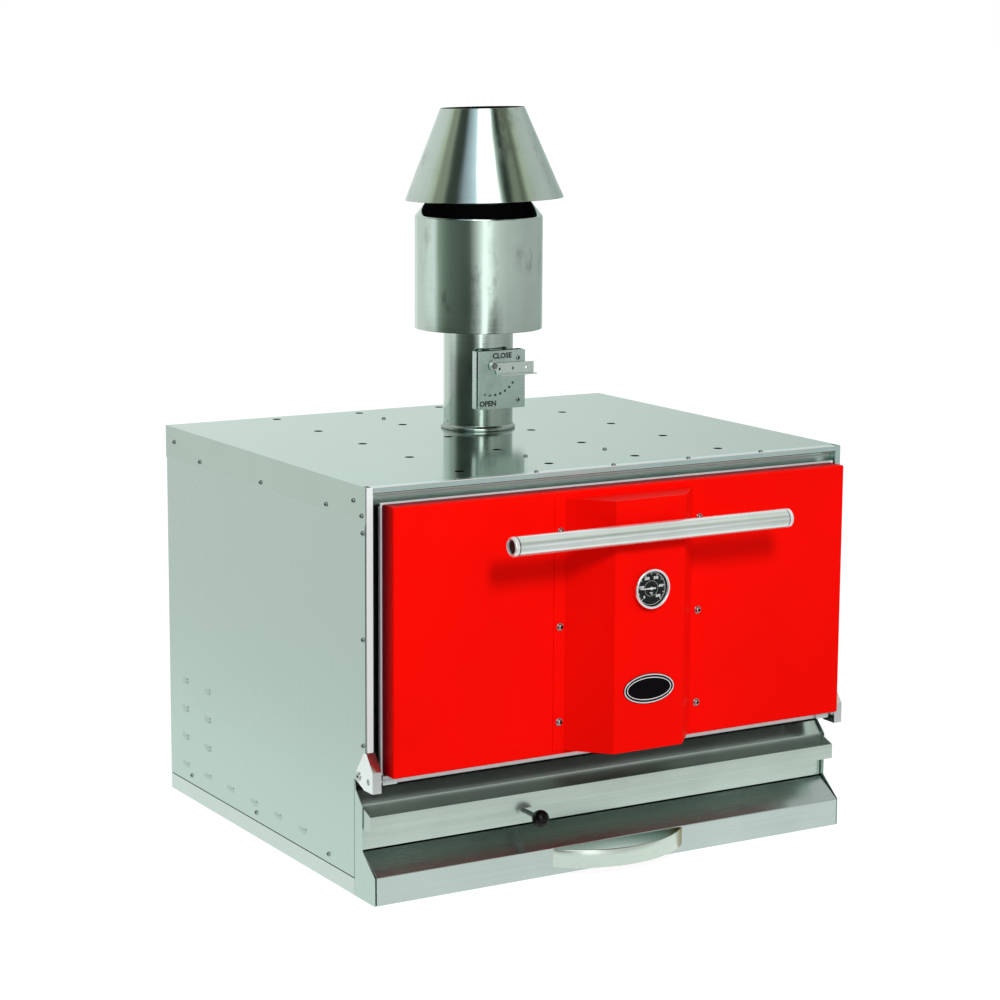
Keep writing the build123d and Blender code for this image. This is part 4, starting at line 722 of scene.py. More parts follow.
def folded(source: bpy.types.Mesh, radius: float, steps: int = 2) -> Form:
    """Copies a sheet-metal mesh and rounds its folds, while faces as narrow as a cut edge stay sharp.

    Args:
        source: The mesh that is copied.
        radius: The radius of the folds.
        steps: The runs across each fold.

    Returns:
        The copy.
    """
    cut_edge, least_fold = 0.0024, math.radians(22)
    form = bmesh.new()
    form.from_mesh(source)
    bmesh.ops.remove_doubles(form, verts=form.verts, dist=1e-6)
    bmesh.ops.dissolve_limit(
        form, angle_limit=math.radians(0.4), verts=form.verts, edges=form.edges, use_dissolve_boundaries=False
    )
    width = {face: face.calc_area() / max(edge.calc_length() for edge in face.edges) for face in form.faces}
    bends = [
        edge
        for edge in form.edges
        if len(edge.link_faces) == 2
        and edge.is_convex
        and edge.calc_face_angle() > least_fold
        and edge.calc_length() > 1.5 * radius
        and min(width[face] for face in edge.link_faces) > cut_edge
    ]
    bmesh.ops.bevel(
        form, geom=bends, offset=radius, segments=steps, profile=0.5, affect="EDGES", clamp_overlap=True
    )
    for face in form.faces:
        face.smooth = False
    return form


def run_tree(name: str, tree: bpy.types.NodeTree, carrier: Piece, inputs: dict) -> Piece:
    """Runs a Geometry Nodes tree and keeps its result as a plain mesh.

    Args:
        name: The piece's name.
        tree: The tree.
        carrier: The object that carries its modifier, which is removed.
        inputs: The tree's inputs by name.

    Returns:
        The plain mesh object.
    """
    modifier = carrier.modifiers.new("nodes", "NODES")
    modifier.node_group = tree
    for item in tree.interface.items_tree:
        if item.in_out == "INPUT" and item.name in inputs:
            modifier[item.identifier] = inputs[item.name]
    carrier.update_tag()
    mesh = settled(carrier)
    mesh.name = name
    carrier.modifiers.clear()
    bpy.data.objects.remove(carrier)
    return shown(name, mesh)


class Copier:
    """A Geometry Nodes tree that sets painted copies of a shape on points, each turned its own way.

    Attributes:
        name: The tree's name.
        inputs: The socket kind of each of its inputs.
    """

    name: str
    inputs: dict[str, str]

    def __init__(self) -> None:
        """Builds the node tree with its named inputs."""
        self.tree = bpy.data.node_groups.new(self.name, "GeometryNodeTree")
        for label, kind in self.inputs.items():
            self.tree.interface.new_socket(label, in_out="INPUT", socket_type=f"NodeSocket{kind}")
        self.tree.interface.new_socket("Copies", in_out="OUTPUT", socket_type="NodeSocketGeometry")
        graph = Graph(self.tree)
        points, shape, turn = self.lay_out(graph)
        rotation = graph.node("FunctionNodeEulerToRotation", {}, {"Euler": turn})
        inputs = {"Points": points, "Instance": shape, "Rotation": rotation}
        copies = graph.node("GeometryNodeInstanceOnPoints", {}, inputs)
        real = graph.node("GeometryNodeRealizeInstances", {}, {"Geometry": copies})
        finish = graph.given("Finish")
        painted = graph.node("GeometryNodeSetMaterial", {}, {"Geometry": real, "Material": finish})
        graph.node("NodeGroupOutput", {}, {"Copies": painted})

    def lay_out(self, graph: Graph) -> tuple[Value, Value, Value]:
        """Returns the points, the shape and each copy's turn."""
        raise NotImplementedError


class Repeater(Copier):
    """Sets copies of one small shape on the points of a mesh."""

    name = "repeat_shape"
    inputs = {"Points": "Geometry", "Shape": "Object", "Finish": "Material"}

    def lay_out(self, graph: Graph) -> tuple[Value, Value, Value]:
        """Returns the given mesh's points, the given shape and the turn that each point carries."""
        points = graph.node("GeometryNodeMeshToPoints", {}, {"Mesh": graph.given("Points")})
        shape = graph.node("GeometryNodeObjectInfo", {}, {"Object": graph.given("Shape")}, output="Geometry")
        kind = {"data_type": "FLOAT_VECTOR"}
        turn = graph.node("GeometryNodeInputNamedAttribute", kind, {"Name": "turn"}, output="Attribute")
        return points, shape, turn

    def spread(
        self,
        name: str,
        form: Form,
        places: Sequence[Pair],
        finish: Finish,
        smooth: float = 32.0,
    ) -> Piece:
        """Sets the shape on every place.

        Args:
            name: The piece's name.
            form: The shape, with its foot at the origin and its top towards +Z.
            places: Pairs of a point and the Euler turn there.
            finish: The finish of the copies.
            smooth: The angle up to which faces shade smoothly.

        Returns:
            One plain mesh object of all copies.
        """
        shape = solid(f"{name}_shape", form, smooth)
        cloud = bpy.data.meshes.new(f"{name}_points")
        cloud.from_pydata([tuple(point) for point, _ in places], [], [])
        turns = cloud.attributes.new("turn", "FLOAT_VECTOR", "POINT")
        for index, (_, turn) in enumerate(places):
            turns.data[index].vector = turn
        carrier = shown(f"{name}_carrier", cloud)
        made = run_tree(name, self.tree, carrier, {"Shape": shape, "Finish": finish.material()})
        bpy.data.objects.remove(shape)
        return made


class DialScale(Copier):
    """Draws evenly turned dashes round a dial."""

    name = "dial_scale"
    inputs = {
        "Geometry": "Geometry",
        "Count": "Int",
        "Start": "Float",
        "Sweep": "Float",
        "Centre": "Vector",
        "Reach": "Vector",
        "Dash": "Vector",
        "Finish": "Material",
    }

    def lay_out(self, graph: Graph) -> tuple[Value, Value, Value]:
        """Returns points at the dial's centre, a dash out at its radius and the turn of each dash."""
        count = graph.given("Count")
        points = graph.node("GeometryNodePoints", {}, {"Count": count, "Position": graph.given("Centre")})
        dash = graph.node("GeometryNodeMeshCube", {}, {"Size": graph.given("Dash")})
        reach = graph.given("Reach")
        moved = graph.node("GeometryNodeTransform", {}, {"Geometry": dash, "Translation": reach})
        share = graph.node("GeometryNodeInputIndex") / (count - 1.0)
        angle = share * graph.given("Sweep") + graph.given("Start")
        return points, moved, graph.node("ShaderNodeCombineXYZ", {}, {"Y": angle})

    def draw(
        self,
        name: str,
        count: int,
        start: float,
        sweep: float,
        centre: Vector,
        radius: float,
        dash: Vector,
        finish: Finish,
    ) -> Piece:
        """Draws one ring of dashes.

        Args:
            name: The piece's name.
            count: How many dashes.
            start: The first one's angle, in degrees up from -X.
            sweep: The angle from the first to the last one.
            centre: The dial's centre.
            radius: The radius at each dash's middle.
            dash: A dash's length, thickness and width.
            finish: Its finish.

        Returns:
            The dashes as one plain mesh object.
        """
        carrier = shown(f"{name}_carrier", bpy.data.meshes.new(f"{name}_points"))
        inputs = {
            "Count": count,
            "Start": math.radians(start),
            "Sweep": math.radians(sweep),
            "Centre": centre,
            "Reach": Vector((-radius, 0.0, 0.0)),
            "Dash": dash,
            "Finish": finish.material(),
        }
        return run_tree(name, self.tree, carrier, inputs)


def lettering(
    name: str, words: Sequence[tuple[str, Vector, float]], depth: float, finish: Finish, bold: float = 0.0
) -> Piece:
    """Makes flat raised words that face -Y.

    Args:
        name: The piece's name.
        words: The text, centre and height of each word.
        depth: How far the words stand out.
        finish: Their finish.
        bold: How far each stroke grows on either side.

    Returns:
        All the words as one mesh object.
    """
    form = bmesh.new()
    for text, centre, height in words:
        curve = bpy.data.curves.new(name, "FONT")
        curve.body, curve.size, curve.extrude = text, height, depth / 2
        curve.align_x, curve.align_y = "CENTER", "CENTER"
        curve.resolution_u, curve.offset = 2, bold
        carrier = linked(f"{name}_text", curve)
        mesh = settled(carrier)
        mesh.transform(Matrix.Translation(centre) @ Matrix.Rotation(math.pi / 2, 4, "X"))
        form.from_mesh(mesh)
        bpy.data.objects.remove(carrier)
    made = solid(name, form, None)
    made.data.materials.append(finish.material())
    return made


RIGHT = Vector((1.0, 0.0, 0.0))
BACK = Vector((0.0, 1.0, 0.0))
UP = Vector((0.0, 0.0, 1.0))
TURN_LEFT = Vector((0.0, -math.pi / 2, 0.0))
TURN_RIGHT = Vector((0.0, math.pi / 2, 0.0))
TURN_FRONT = Vector((math.pi / 2, 0.0, 0.0))
TURN_UP = Vector((0.0, 0.0, 0.0))


def screw_head(radius: float, height: float, washer: float = 0.0) -> Form:
    """Makes a domed head with a hexagon socket, on a washer if one is given.

    Args:
        radius: The head's radius.
        height: Its height with the washer.
        washer: The washer's radius, or 0 for none.

    Returns:
        The head, its foot at the origin and its top towards +Z.
    """
    form = bmesh.new()
    foot = 0.25 * height if washer else 0.0
    socket, floor = 0.5 * radius, foot + 0.45 * (height - foot)
    rise = height - foot
    outline = [(0.0, 0.0), (radius, 0.0), (radius, foot + 0.3 * rise), (0.93 * radius, foot + 0.62 * rise)]
    outline += [(0.75 * radius, foot + 0.88 * rise), (socket, height), (socket, floor), (0.0, floor)]
    if washer:
        outline[1:2] = [(washer, 0.0), (washer, 0.7 * foot), (washer - 0.3 * foot, foot), (radius, foot)]
    lathe(form, outline, Vector(), UP, 12)
    return form


def socket_plug(radius: float, height: float) -> Form:
    """Makes the floor of a hexagon socket, painted black as the shade in it.

    Args:
        radius: The radius of the screw's head.
        height: The height at which the floor lies.

    Returns:
        A low six-sided disc.
    """
    form = bmesh.new()
    lathe(form, band(0.0, 0.48 * radius, 0.0, height), Vector(), UP, 6)
    return form


@dataclass
class Assembly:
    """What every sub-assembly shares.

    Attributes:
        nodes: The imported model's objects by name.
        repeat: The tree that sets out repeated shapes.
        body: The body that its pieces ride on.
    """

    nodes: dict[str, Piece]
    repeat: Repeater
    body: str = "cabinet"

    def __post_init__(self) -> None:
        """Starts the list of finished pieces."""
        self.done: list[str] = []

    def dress(
        self, piece: Piece, slot: str, *stands_for: str, finish: Finish | None = None, body: str = ""
    ) -> Piece:
        """Gives a piece its material and its body, and hides the nodes that it stands for.

        Args:
            piece: The piece.
            slot: The record's material slot.
            *stands_for: The nodes that it replaces.
            finish: Its finish, if it isn't the slot's own.
            body: Its body, if it isn't the assembly's own.

        Returns:
            The piece.
        """
        piece.data.materials.clear()
        piece.data.materials.append((finish or FINISHES[slot]).material())
        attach(piece, body or self.body)
        if stands_for:
            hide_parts(*stands_for)
        self.done.append(piece.name)
        return piece

    def fold(
        self,
        node: str,
        name: str,
        slot: str,
        radius: float,
        steps: int = 2,
        smooth: float | None = None,
        finish: Finish | None = None,
    ) -> Piece:
        """Replaces a sheet-metal node by a copy with rounded folds.

        Args:
            node: The node.
            name: The new piece's name.
            slot: Its material slot.
            radius: The radius of its folds.
            steps: The runs across each fold.
            smooth: The angle up to which its faces shade smoothly.
            finish: Its finish, if it isn't the slot's own.

        Returns:
            The new piece.
        """
        mesh = bpy.data.meshes.new(name)
        form = folded(self.nodes[node].data, radius, steps)
        form.to_mesh(mesh)
        form.free()
        return self.dress(shown(name, mesh, smooth), slot, node, finish=finish)

    def turn(
        self,
        name: str,
        slot: str,
        outline: Sequence[Flat],
        foot: Vector,
        axis: Vector,
        *stands_for: str,
        turns: int = 64,
        smooth: float = 32.0,
        finish: Finish | None = None,
    ) -> None:
        """Makes one turned piece.

        Args:
            name: The piece's name.
            slot: Its material slot.
            outline: Pairs of radius and height along the axis.
            foot: The point on the axis at height 0.
            axis: The axis.
            *stands_for: The nodes that it replaces.
            turns: The number of sides.
            smooth: The angle up to which its faces shade smoothly.
            finish: Its finish, if it isn't the slot's own.
        """
        form = bmesh.new()
        lathe(form, outline, foot, axis, turns)
        self.dress(solid(name, form, smooth), slot, *stands_for, finish=finish)

    def screw_down(
        self,
        stem: str,
        node: str,
        slot: str,
        places: Sequence[Pair],
        head: Form,
        plug: Form,
        finish: Finish | None = None,
    ) -> None:
        """Sets screw heads on their places, with the floors of their sockets painted black as shade.

        Args:
            stem: The start of both pieces' names.
            node: The node that the heads replace.
            slot: The material slot of both.
            places: Pairs of a point and the turn there.
            head: The shape of a head.
            plug: The shape of a socket's floor.
            finish: The heads' finish, if it isn't the slot's own.
        """
        heads = self.repeat.spread(f"{stem}_heads", head, places, finish or FINISHES[slot])
        self.dress(heads, slot, node, finish=finish)
        sockets = self.repeat.spread(f"{stem}_sockets", plug, places, SHADE_BLACK)
        self.dress(sockets, slot, finish=SHADE_BLACK)

    def strips(self, name: str, boxes: Sequence[Pair], slot: str, finish: Finish) -> None:
        """Makes thin straight strips, such as the painted shadow lines in seams.

        Args:
            name: The piece's name.
            boxes: The low and high corner of each strip.
            slot: Its material slot.
            finish: Its finish.
        """
        form = bmesh.new()
        for low, high in boxes:
            made = bmesh.ops.create_cube(form, size=1.0)
            bmesh.ops.scale(form, verts=made["verts"], vec=high - low)
            bmesh.ops.translate(form, verts=made["verts"], vec=(low + high) / 2)
        self.dress(solid(name, form, None), slot, finish=finish)

    def keep(self, finish: Finish, *names: str) -> None:
        """Gives nodes whose shape is right their finish.

        Args:
            finish: The finish.
            *names: The nodes.
        """
        for name in names:
            piece = self.nodes[name]
            if not piece.material_slots:
                piece.data.materials.append(None)
            for place in piece.material_slots:
                place.material = finish.material()
            self.done.append(name)

    def build(self) -> list[str]:
        """Makes the pieces and returns their names."""
        raise NotImplementedError


@dataclass
class Cabinet(Assembly):
    """The outer cabinet: base, side panels with louvres, top, front frame and gutter."""

    half_width: float = 0.460
    side_face: float = 0.4588
    side_back: float = 0.4576
    height: float = 0.670
    panel_front: float = 0.0048
    panel_top: float = 0.6683
    panel_rear: float = 0.7688
    panel_foot: float = 0.0298
    cheek_rear: float = 0.0482
    cheek_top: float = 0.1935
    louvre_width: float = 0.032
    louvre_height: float = 0.009
    louvre_rise: float = 0.0035
    louvre_sheet: float = 0.0010
    louvre_rear: float = 0.705
    louvre_low: float = 0.060
    louvre_pitch: Flat = (0.094, 0.052)
    head: Flat = (0.004, 0.0025)
    bolt: Flat = (0.026, 0.203)

    def louvres(self) -> list[Flat]:
        """Returns where the louvres are, as y and z."""
        return [
            (self.louvre_rear - column * self.louvre_pitch[0], self.louvre_low + row * self.louvre_pitch[1])
            for column in range(6)
            for row in range(4)
            if column < 2 or row == 0
        ]

    def side_panel(self, side: str, sign: int) -> None:
        """Makes one side panel with the slots of its louvres.

        Args:
            side: The side's name.
            sign: -1 for the left side, 1 for the right side.
        """
        lap = 0.0012
        half = self.louvre_width / 2 - lap
        slots = [(y - half, y + half, z - self.louvre_height / 2, z) for y, z in self.louvres()]
        ys = {self.panel_front, self.cheek_rear, self.panel_rear}.union(*(slot[:2] for slot in slots))
        zs = {self.panel_foot, self.cheek_top, self.panel_top}.union(*(slot[2:] for slot in slots))
        ys, zs = sorted(ys), sorted(zs)
        form = bmesh.new()
        spots = {(y, z): form.verts.new((sign * self.side_back, y, z)) for y in ys for z in zs}
        for y0, y1 in zip(ys, ys[1:]):
            for z0, z1 in zip(zs, zs[1:]):
                y, z = (y0 + y1) / 2, (z0 + z1) / 2
                if y < self.cheek_rear and z < self.cheek_top:
                    continue
                if any(slot[0] < y < slot[1] and slot[2] < z < slot[3] for slot in slots):
                    continue
                form.faces.new([spots[key] for key in ((y0, z0), (y1, z0), (y1, z1), (y0, z1))])
        for spot in [spot for spot in form.verts if not spot.link_faces]:
            form.verts.remove(spot)
        grown = bmesh.ops.extrude_face_region(form, geom=list(form.faces))
        lifted = [item for item in grown["geom"] if isinstance(item, bmesh.types.BMVert)]
        bmesh.ops.translate(form, verts=lifted, vec=(sign * (self.side_face - self.side_back), 0, 0))
        panel = solid(f"{side}_side_sheet", form, None)
        self.dress(panel, "cabinet_sheet", f"{side}_side_panel")

    def louvre_hood(self) -> Form:
        """Makes one pressed hood, open below, its foot at the origin and its bulge towards +Z."""
        form = bmesh.new()
        across, down = 6, 3
        end_power, crown_power = 3, 0.8
        skins = []
        for drop in (0.0, -self.louvre_sheet):
            rows = []
            for row in range(down + 1):
                share = row / down
                line = []
                for column in range(across + 1):
                    along = 2 * column / across - 1
                    bulge = (1 - abs(along) ** end_power) * math.sin(math.pi / 2 * share) ** crown_power
                    height = self.louvre_rise * bulge + drop
                    point = (along * self.louvre_width / 2, (0.5 - share) * self.louvre_height, height)
                    line.append(form.verts.new(point))
                rows.append(line)
            skins.append(rows)
        for rows in skins:
            for upper, lower in zip(rows, rows[1:]):
                for left in range(across):
                    form.faces.new((upper[left], upper[left + 1], lower[left + 1], lower[left]))
        outer, inner = skins
        rims = [
            (outer[0], inner[0]),
            (outer[-1], inner[-1]),
            ([row[0] for row in outer], [row[0] for row in inner]),
            ([row[-1] for row in outer], [row[-1] for row in inner]),
        ]
        for near, far in rims:
            for index in range(len(near) - 1):
                form.faces.new((near[index], near[index + 1], far[index + 1], far[index]))
        return form

    def screws(self) -> None:
        """Sets the screws of the sides, the header and the roof, with their sockets."""
        overlap_height, shoulder_height, foot_height, column_y = 0.6235, 0.644, 0.044, 0.0165
        caps = [(y, overlap_height) for y in (0.018, 0.139, 0.379, 0.624)]
        caps += [(y, shoulder_height) for y in (0.045, 0.733)]
        panels = [(column_y, z) for z in (0.2545, 0.426, 0.596)]
        panels += [(y, foot_height) for y in (0.139, 0.411, 0.679)]
        places = []
        for sign, turn in ((-1, TURN_LEFT), (1, TURN_RIGHT)):
            places += [(Vector((sign * self.half_width, y, z)), turn) for y, z in caps]
            places += [(Vector((sign * self.side_face, y, z)), turn) for y, z in panels]
        header_y, roof_x = 0.0075, 0.0785
        roof = [(x, header_y) for x in (-0.296, -0.148, 0.0, 0.148, 0.296)]
        roof += [(x, y) for x in (-roof_x, roof_x) for y in (0.156, 0.656)]
        places += [(Vector((x, y, self.height)), TURN_UP) for x, y in roof]
        bracket_x, bracket_y = 0.055, 0.4042
        places += [(Vector((bracket_x, bracket_y, z)), TURN_FRONT) for z in (0.727, 0.8015)]
        radius, height = self.head
        head, plug = screw_head(radius, height), socket_plug(radius, 0.5 * height)
        self.screw_down("cabinet_screw", "cabinet_screws", "screw_steel", places, head, plug)

    def seams(self) -> None:
        """Sets black strips of painted shade in the sheets' seams, a lip in the recess, a painted highlight
        strip on the header's edge and a painted shade strip in its seam.
        """
        deep, flush, proud = self.side_back + 0.0003, self.side_face + 0.0001, self.half_width + 0.0001
        thick, low, cap_low, cap_high = 0.0008, 0.0280, 0.6120, 0.6680
        boxes = []
        for sign in (-1, 1):
            for y0, y1, z0, z1, face in (
                (self.cheek_rear, self.panel_rear, low, self.panel_foot, deep),
                (0.0470, self.cheek_rear, low, self.cheek_top, deep),
                (0.0050, 0.0084, self.cheek_top, cap_low, flush),
                (0.0034, 0.0042, cap_low, cap_high, proud),
            ):
                near, far = sorted((sign * (face - thick), sign * face))
                boxes.append((Vector((near, y0, z0)), Vector((far, y1, z1))))
        self.strips("sheet_seams", boxes, "cabinet_sheet", SHADE_BLACK)
        for name, slot, finish, half, y0, y1, z0, z1 in (
            ("recess_lip", "inner_sheet", FINISHES["trim_sheet"], 0.448, 0.0155, 0.0180, 0.6520, 0.6535),
            # Painted highlight: the header_edge strip is a pale line along the header's top edge; the
            # header_seam strip is painted shade.
            ("header_edge", "trim_sheet", HIGHLIGHT_CHROME, 0.449, -0.0002, 0.0014, 0.6688, 0.6701),
            ("header_seam", "trim_sheet", SHADE_BLACK, 0.449, -0.0002, 0.0010, 0.6600, 0.6608),
        ):
            self.strips(name, [(Vector((-half, y0, z0)), Vector((half, y1, z1)))], slot, finish)

    def hinge_bolt_heads(self) -> None:
        """Sets the bolt heads of the hinge brackets on their washers."""
        left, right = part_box("left_hinge_bracket")[0].x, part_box("right_hinge_bracket")[1].x
        places = [(Vector((left, *self.bolt)), TURN_LEFT), (Vector((right, *self.bolt)), TURN_RIGHT)]
        head, plug = screw_head(0.0052, 0.0030, 0.008), socket_plug(0.0056, 0.0019)
        self.screw_down("hinge_bolt", "hinge_bolts", "bolt_steel", places, head, plug)

    def build(self) -> list[str]:
        """Makes the cabinet and returns the names of its pieces."""
        hoods = []
        for side, sign, turn in (
            ("left", -1, Vector((math.pi / 2, 0.0, -math.pi / 2))),
            ("right", 1, Vector((math.pi / 2, 0.0, math.pi / 2))),
        ):
            self.side_panel(side, sign)
            hoods += [(Vector((sign * self.side_face, y, z)), turn) for y, z in self.louvres()]
            self.fold(f"{side}_cheek", f"{side}_cheek_sheet", "cabinet_sheet", 0.0008)
            # Painted highlight: the left trim takes the matt near-white copy, the right trim the metal one.
            strip = FINISHES["trim_sheet"] if side == "left" else HEADER
            self.fold(f"{side}_trim", f"{side}_trim_fold", "trim_sheet", 0.0012, finish=strip)
            self.fold(f"{side}_hinge_bracket", f"{side}_bracket_plate", "bracket_steel", 0.0022, 3)
        sheet = FINISHES["cabinet_sheet"]
        louvres = self.repeat.spread("side_louvre_hoods", self.louvre_hood(), hoods, sheet, 60)
        self.dress(louvres, "cabinet_sheet")
        self.fold("base_pan", "base_fold", "base_sheet", 0.0015)
        self.fold("top_cap", "top_fold", "top_sheet", 0.0018)
        self.fold("top_trim", "header_fold", "trim_sheet", 0.0014, 3, finish=HEADER)
        self.seams()
        self.fold("drip_gutter", "gutter_fold", "gutter_sheet", 0.0012)
        self.fold("apron", "apron_sheet", "gutter_sheet", 0.0006)
        self.keep(sheet, "rear_panel")
        self.keep(FINISHES["inner_sheet"], "front_plate")
        self.screws()
        self.hinge_bolt_heads()
        return self.done


@dataclass
class Chamber(Assembly):
    """The cooking chamber with its bricks, grate, rails and grill."""

    def build(self) -> list[str]:
        """Makes the chamber and returns the names of its pieces."""
        self.keep(FINISHES["chamber_steel"], "chamber_left", "chamber_right", "chamber_back", "chamber_roof")
        self.keep(FINISHES["inner_sheet"], "air_bulkhead", "drawer_runners")
        self.keep(FINISHES["wool"], "chamber_wool")
        self.keep(FINISHES["grill_steel"], "rack_rails", "cooking_grill")
        self.fold("fire_bricks", "brick_blocks", "brick", 0.0025, 2)
        self.fold("charcoal_grate", "grate_casting", "cast_grate", 0.0020, 2)
        return self.done


@dataclass
class Door(Assembly):
    """The drop-down door with its centre cover, handle, thermometer and plaque."""

    body: str = "door"
    skin_front: float = -0.042
    pan_rear: float = 0.013
    cover_front: float = -0.1055
    gasket_half: float = 0.4255
    gasket_low: float = 0.214
    gasket_high: float = 0.629
    gasket_width: float = 0.012
    gasket_depth: float = 0.0047
    handle_radius: float = 0.016
    plaque_z: float = 0.319
    plaque_half: Flat = (0.049, 0.025)

    def gasket(self) -> None:
        """Makes the rope seal, a half-round ring with round corners."""
        outer_bend, inner_bend, runs, fullness = 0.014, 0.004, 8, 0.7

        def outline(inset: float, bend: float) -> list[Flat]:
            """Returns a rounded rectangle this far inside the seal's outer edge."""
            half, low, high = self.gasket_half - inset, self.gasket_low + inset, self.gasket_high - inset
            return rounded([(-half, low), (half, low), (half, high), (-half, high)], bend, 6)

        loops = []
        for start, end in zip(outline(0.0, outer_bend), outline(self.gasket_width, inner_bend)):
            loop = []
            for index in range(runs + 1):
                angle = math.pi * index / runs
                share = 0.5 - 0.5 * math.cos(angle)
                lift = self.gasket_depth * math.sin(angle) ** fullness
                x, z = (a + (b - a) * share for a, b in zip(start, end))
                loop.append(Vector((x, self.pan_rear + lift, z)))
            loops.append(loop)
        form = bmesh.new()
        loft(form, loops, closed=True)
        self.dress(solid("gasket_ring", form, 60), "gasket_rope", "door_gasket")

    def handle(self) -> None:
        """Makes the handle's tube and its two end caps, in chrome with a painted highlight, each with its
        recess and groove painted black as shade.
        """
        low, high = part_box("handle_tube")
        middle, half = (low + high) / 2, (high.x - low.x) / 2
        radius, cap = self.handle_radius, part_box("handle_caps")[1].x - high.x
        wall, recess = 0.002, cap - 0.0045
        tube = band(radius - wall, radius, -half, half)
        self.turn("handle_bar", "handle_steel", tube, middle, RIGHT, "handle_tube", turns=72)
        outline = [(0.0, -0.012), (radius - 0.0021, -0.012), (radius - 0.0021, 0.0)]
        outline += [(radius - 0.0014, 0.0), (radius - 0.0014, 0.0013), (radius, 0.0018)]
        outline += [(radius, cap - 0.0030), (radius - 0.0005, cap - 0.0015), (radius - 0.0015, cap - 0.0004)]
        outline += [(radius - 0.0026, cap), (radius - 0.0036, cap - 0.0003), (radius - 0.0044, cap - 0.0012)]
        outline += [(radius - 0.0048, recess), (0.0, recess)]
        plug = band(0.0, radius - 0.0050, 0.0, 0.0006)
        groove = band(radius - 0.0016, radius - 0.0007, -0.0001, 0.0015)
        caps, plugs, grooves = bmesh.new(), bmesh.new(), bmesh.new()
        for sign in (-1, 1):
            along = sign * RIGHT
            lathe(caps, outline, middle + half * along, along, 48)
            lathe(plugs, plug, middle + (half + recess) * along, along, 32)
            lathe(grooves, groove, middle + half * along, along, 48)
        self.dress(solid("handle_end_caps", caps), "bezel_chrome", "handle_caps", finish=HIGHLIGHT_CHROME)
        self.dress(solid("handle_end_plugs", plugs), "bezel_chrome", finish=SHADE_BLACK)
        self.dress(solid("handle_grooves", grooves), "bezel_chrome", finish=SHADE_BLACK)

    def plaque(self) -> None:
        """Makes the plain oval plaque, black with two silver rims in chrome with a painted highlight."""
        steps = 72
        wide, tall = self.plaque_half

        def ring(inset: float, lift: float) -> list[Vector]:
            """Returns one oval line at an inset and a height."""
            points = []
            for index in range(steps):
                angle = math.tau * index / steps
                across, up = (wide - inset) * math.cos(angle), (tall - inset) * math.sin(angle)
                points.append(Vector((across, self.cover_front - lift, self.plaque_z + up)))
            return points

        body = bmesh.new()
        loft(body, [ring(0.0, 0.0), ring(0.0, 0.0010), ring(0.0003, 0.0013), ring(0.0100, 0.0013)])
        self.dress(solid("plaque_oval", body), "plaque", "badge_plate")
        rims, foot, ease = bmesh.new(), 0.0008, 0.0004
        for inset, width, lift in ((0.0009, 0.0020, 0.0020), (0.0060, 0.0017, 0.0019)):
            lines = [(inset, foot), (inset, lift - ease), (inset + 0.2 * width, lift)]
            lines += [(inset + 0.8 * width, lift), (inset + width, lift - ease), (inset + width, foot)]
            loft(rims, [ring(*line) for line in lines], closed=True)
        self.dress(solid("plaque_rims", rims), "bezel_chrome", finish=HIGHLIGHT_CHROME)

    def screws(self) -> None:
        """Sets the screws of the centre cover on their washers."""
        low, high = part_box("cover_screws")
        edge, left_shift, right_shift, sink = (high.x - low.x) / 2 - 0.007, 0.002, 0.003, 0.0015
        places = [
            (Vector((x, self.skin_front - sink, z)), TURN_FRONT)
            for x in (left_shift - edge, right_shift + edge)
            for z in (0.2655, 0.4232, 0.5795)
        ]
        head, plug = screw_head(0.0050, 0.0050, 0.0066), socket_plug(0.0054, 0.0036)
        self.screw_down("cover_screw", "cover_screws", "screw_steel", places, head, plug, COVER_SCREW)

    def build(self) -> list[str]:
        """Makes the door and returns the names of its pieces."""
        self.fold("door_skin", "door_face", "red_enamel", 0.0030, 3)
        self.fold("door_pan", "door_back", "trim_sheet", 0.0010, finish=PAN)
        self.fold("handle_cover", "centre_cover", "red_enamel", 0.0026, 3)
        self.keep(FINISHES["wool"], "door_wool")
        self.fold("door_pivots", "pivot_blocks", "bolt_steel", 0.0008, smooth=30.0)
        self.keep(FINISHES["bolt_steel"], "handle_bolts")
        self.gasket()
        self.handle()
        self.plaque()
        self.screws()
        return self.done


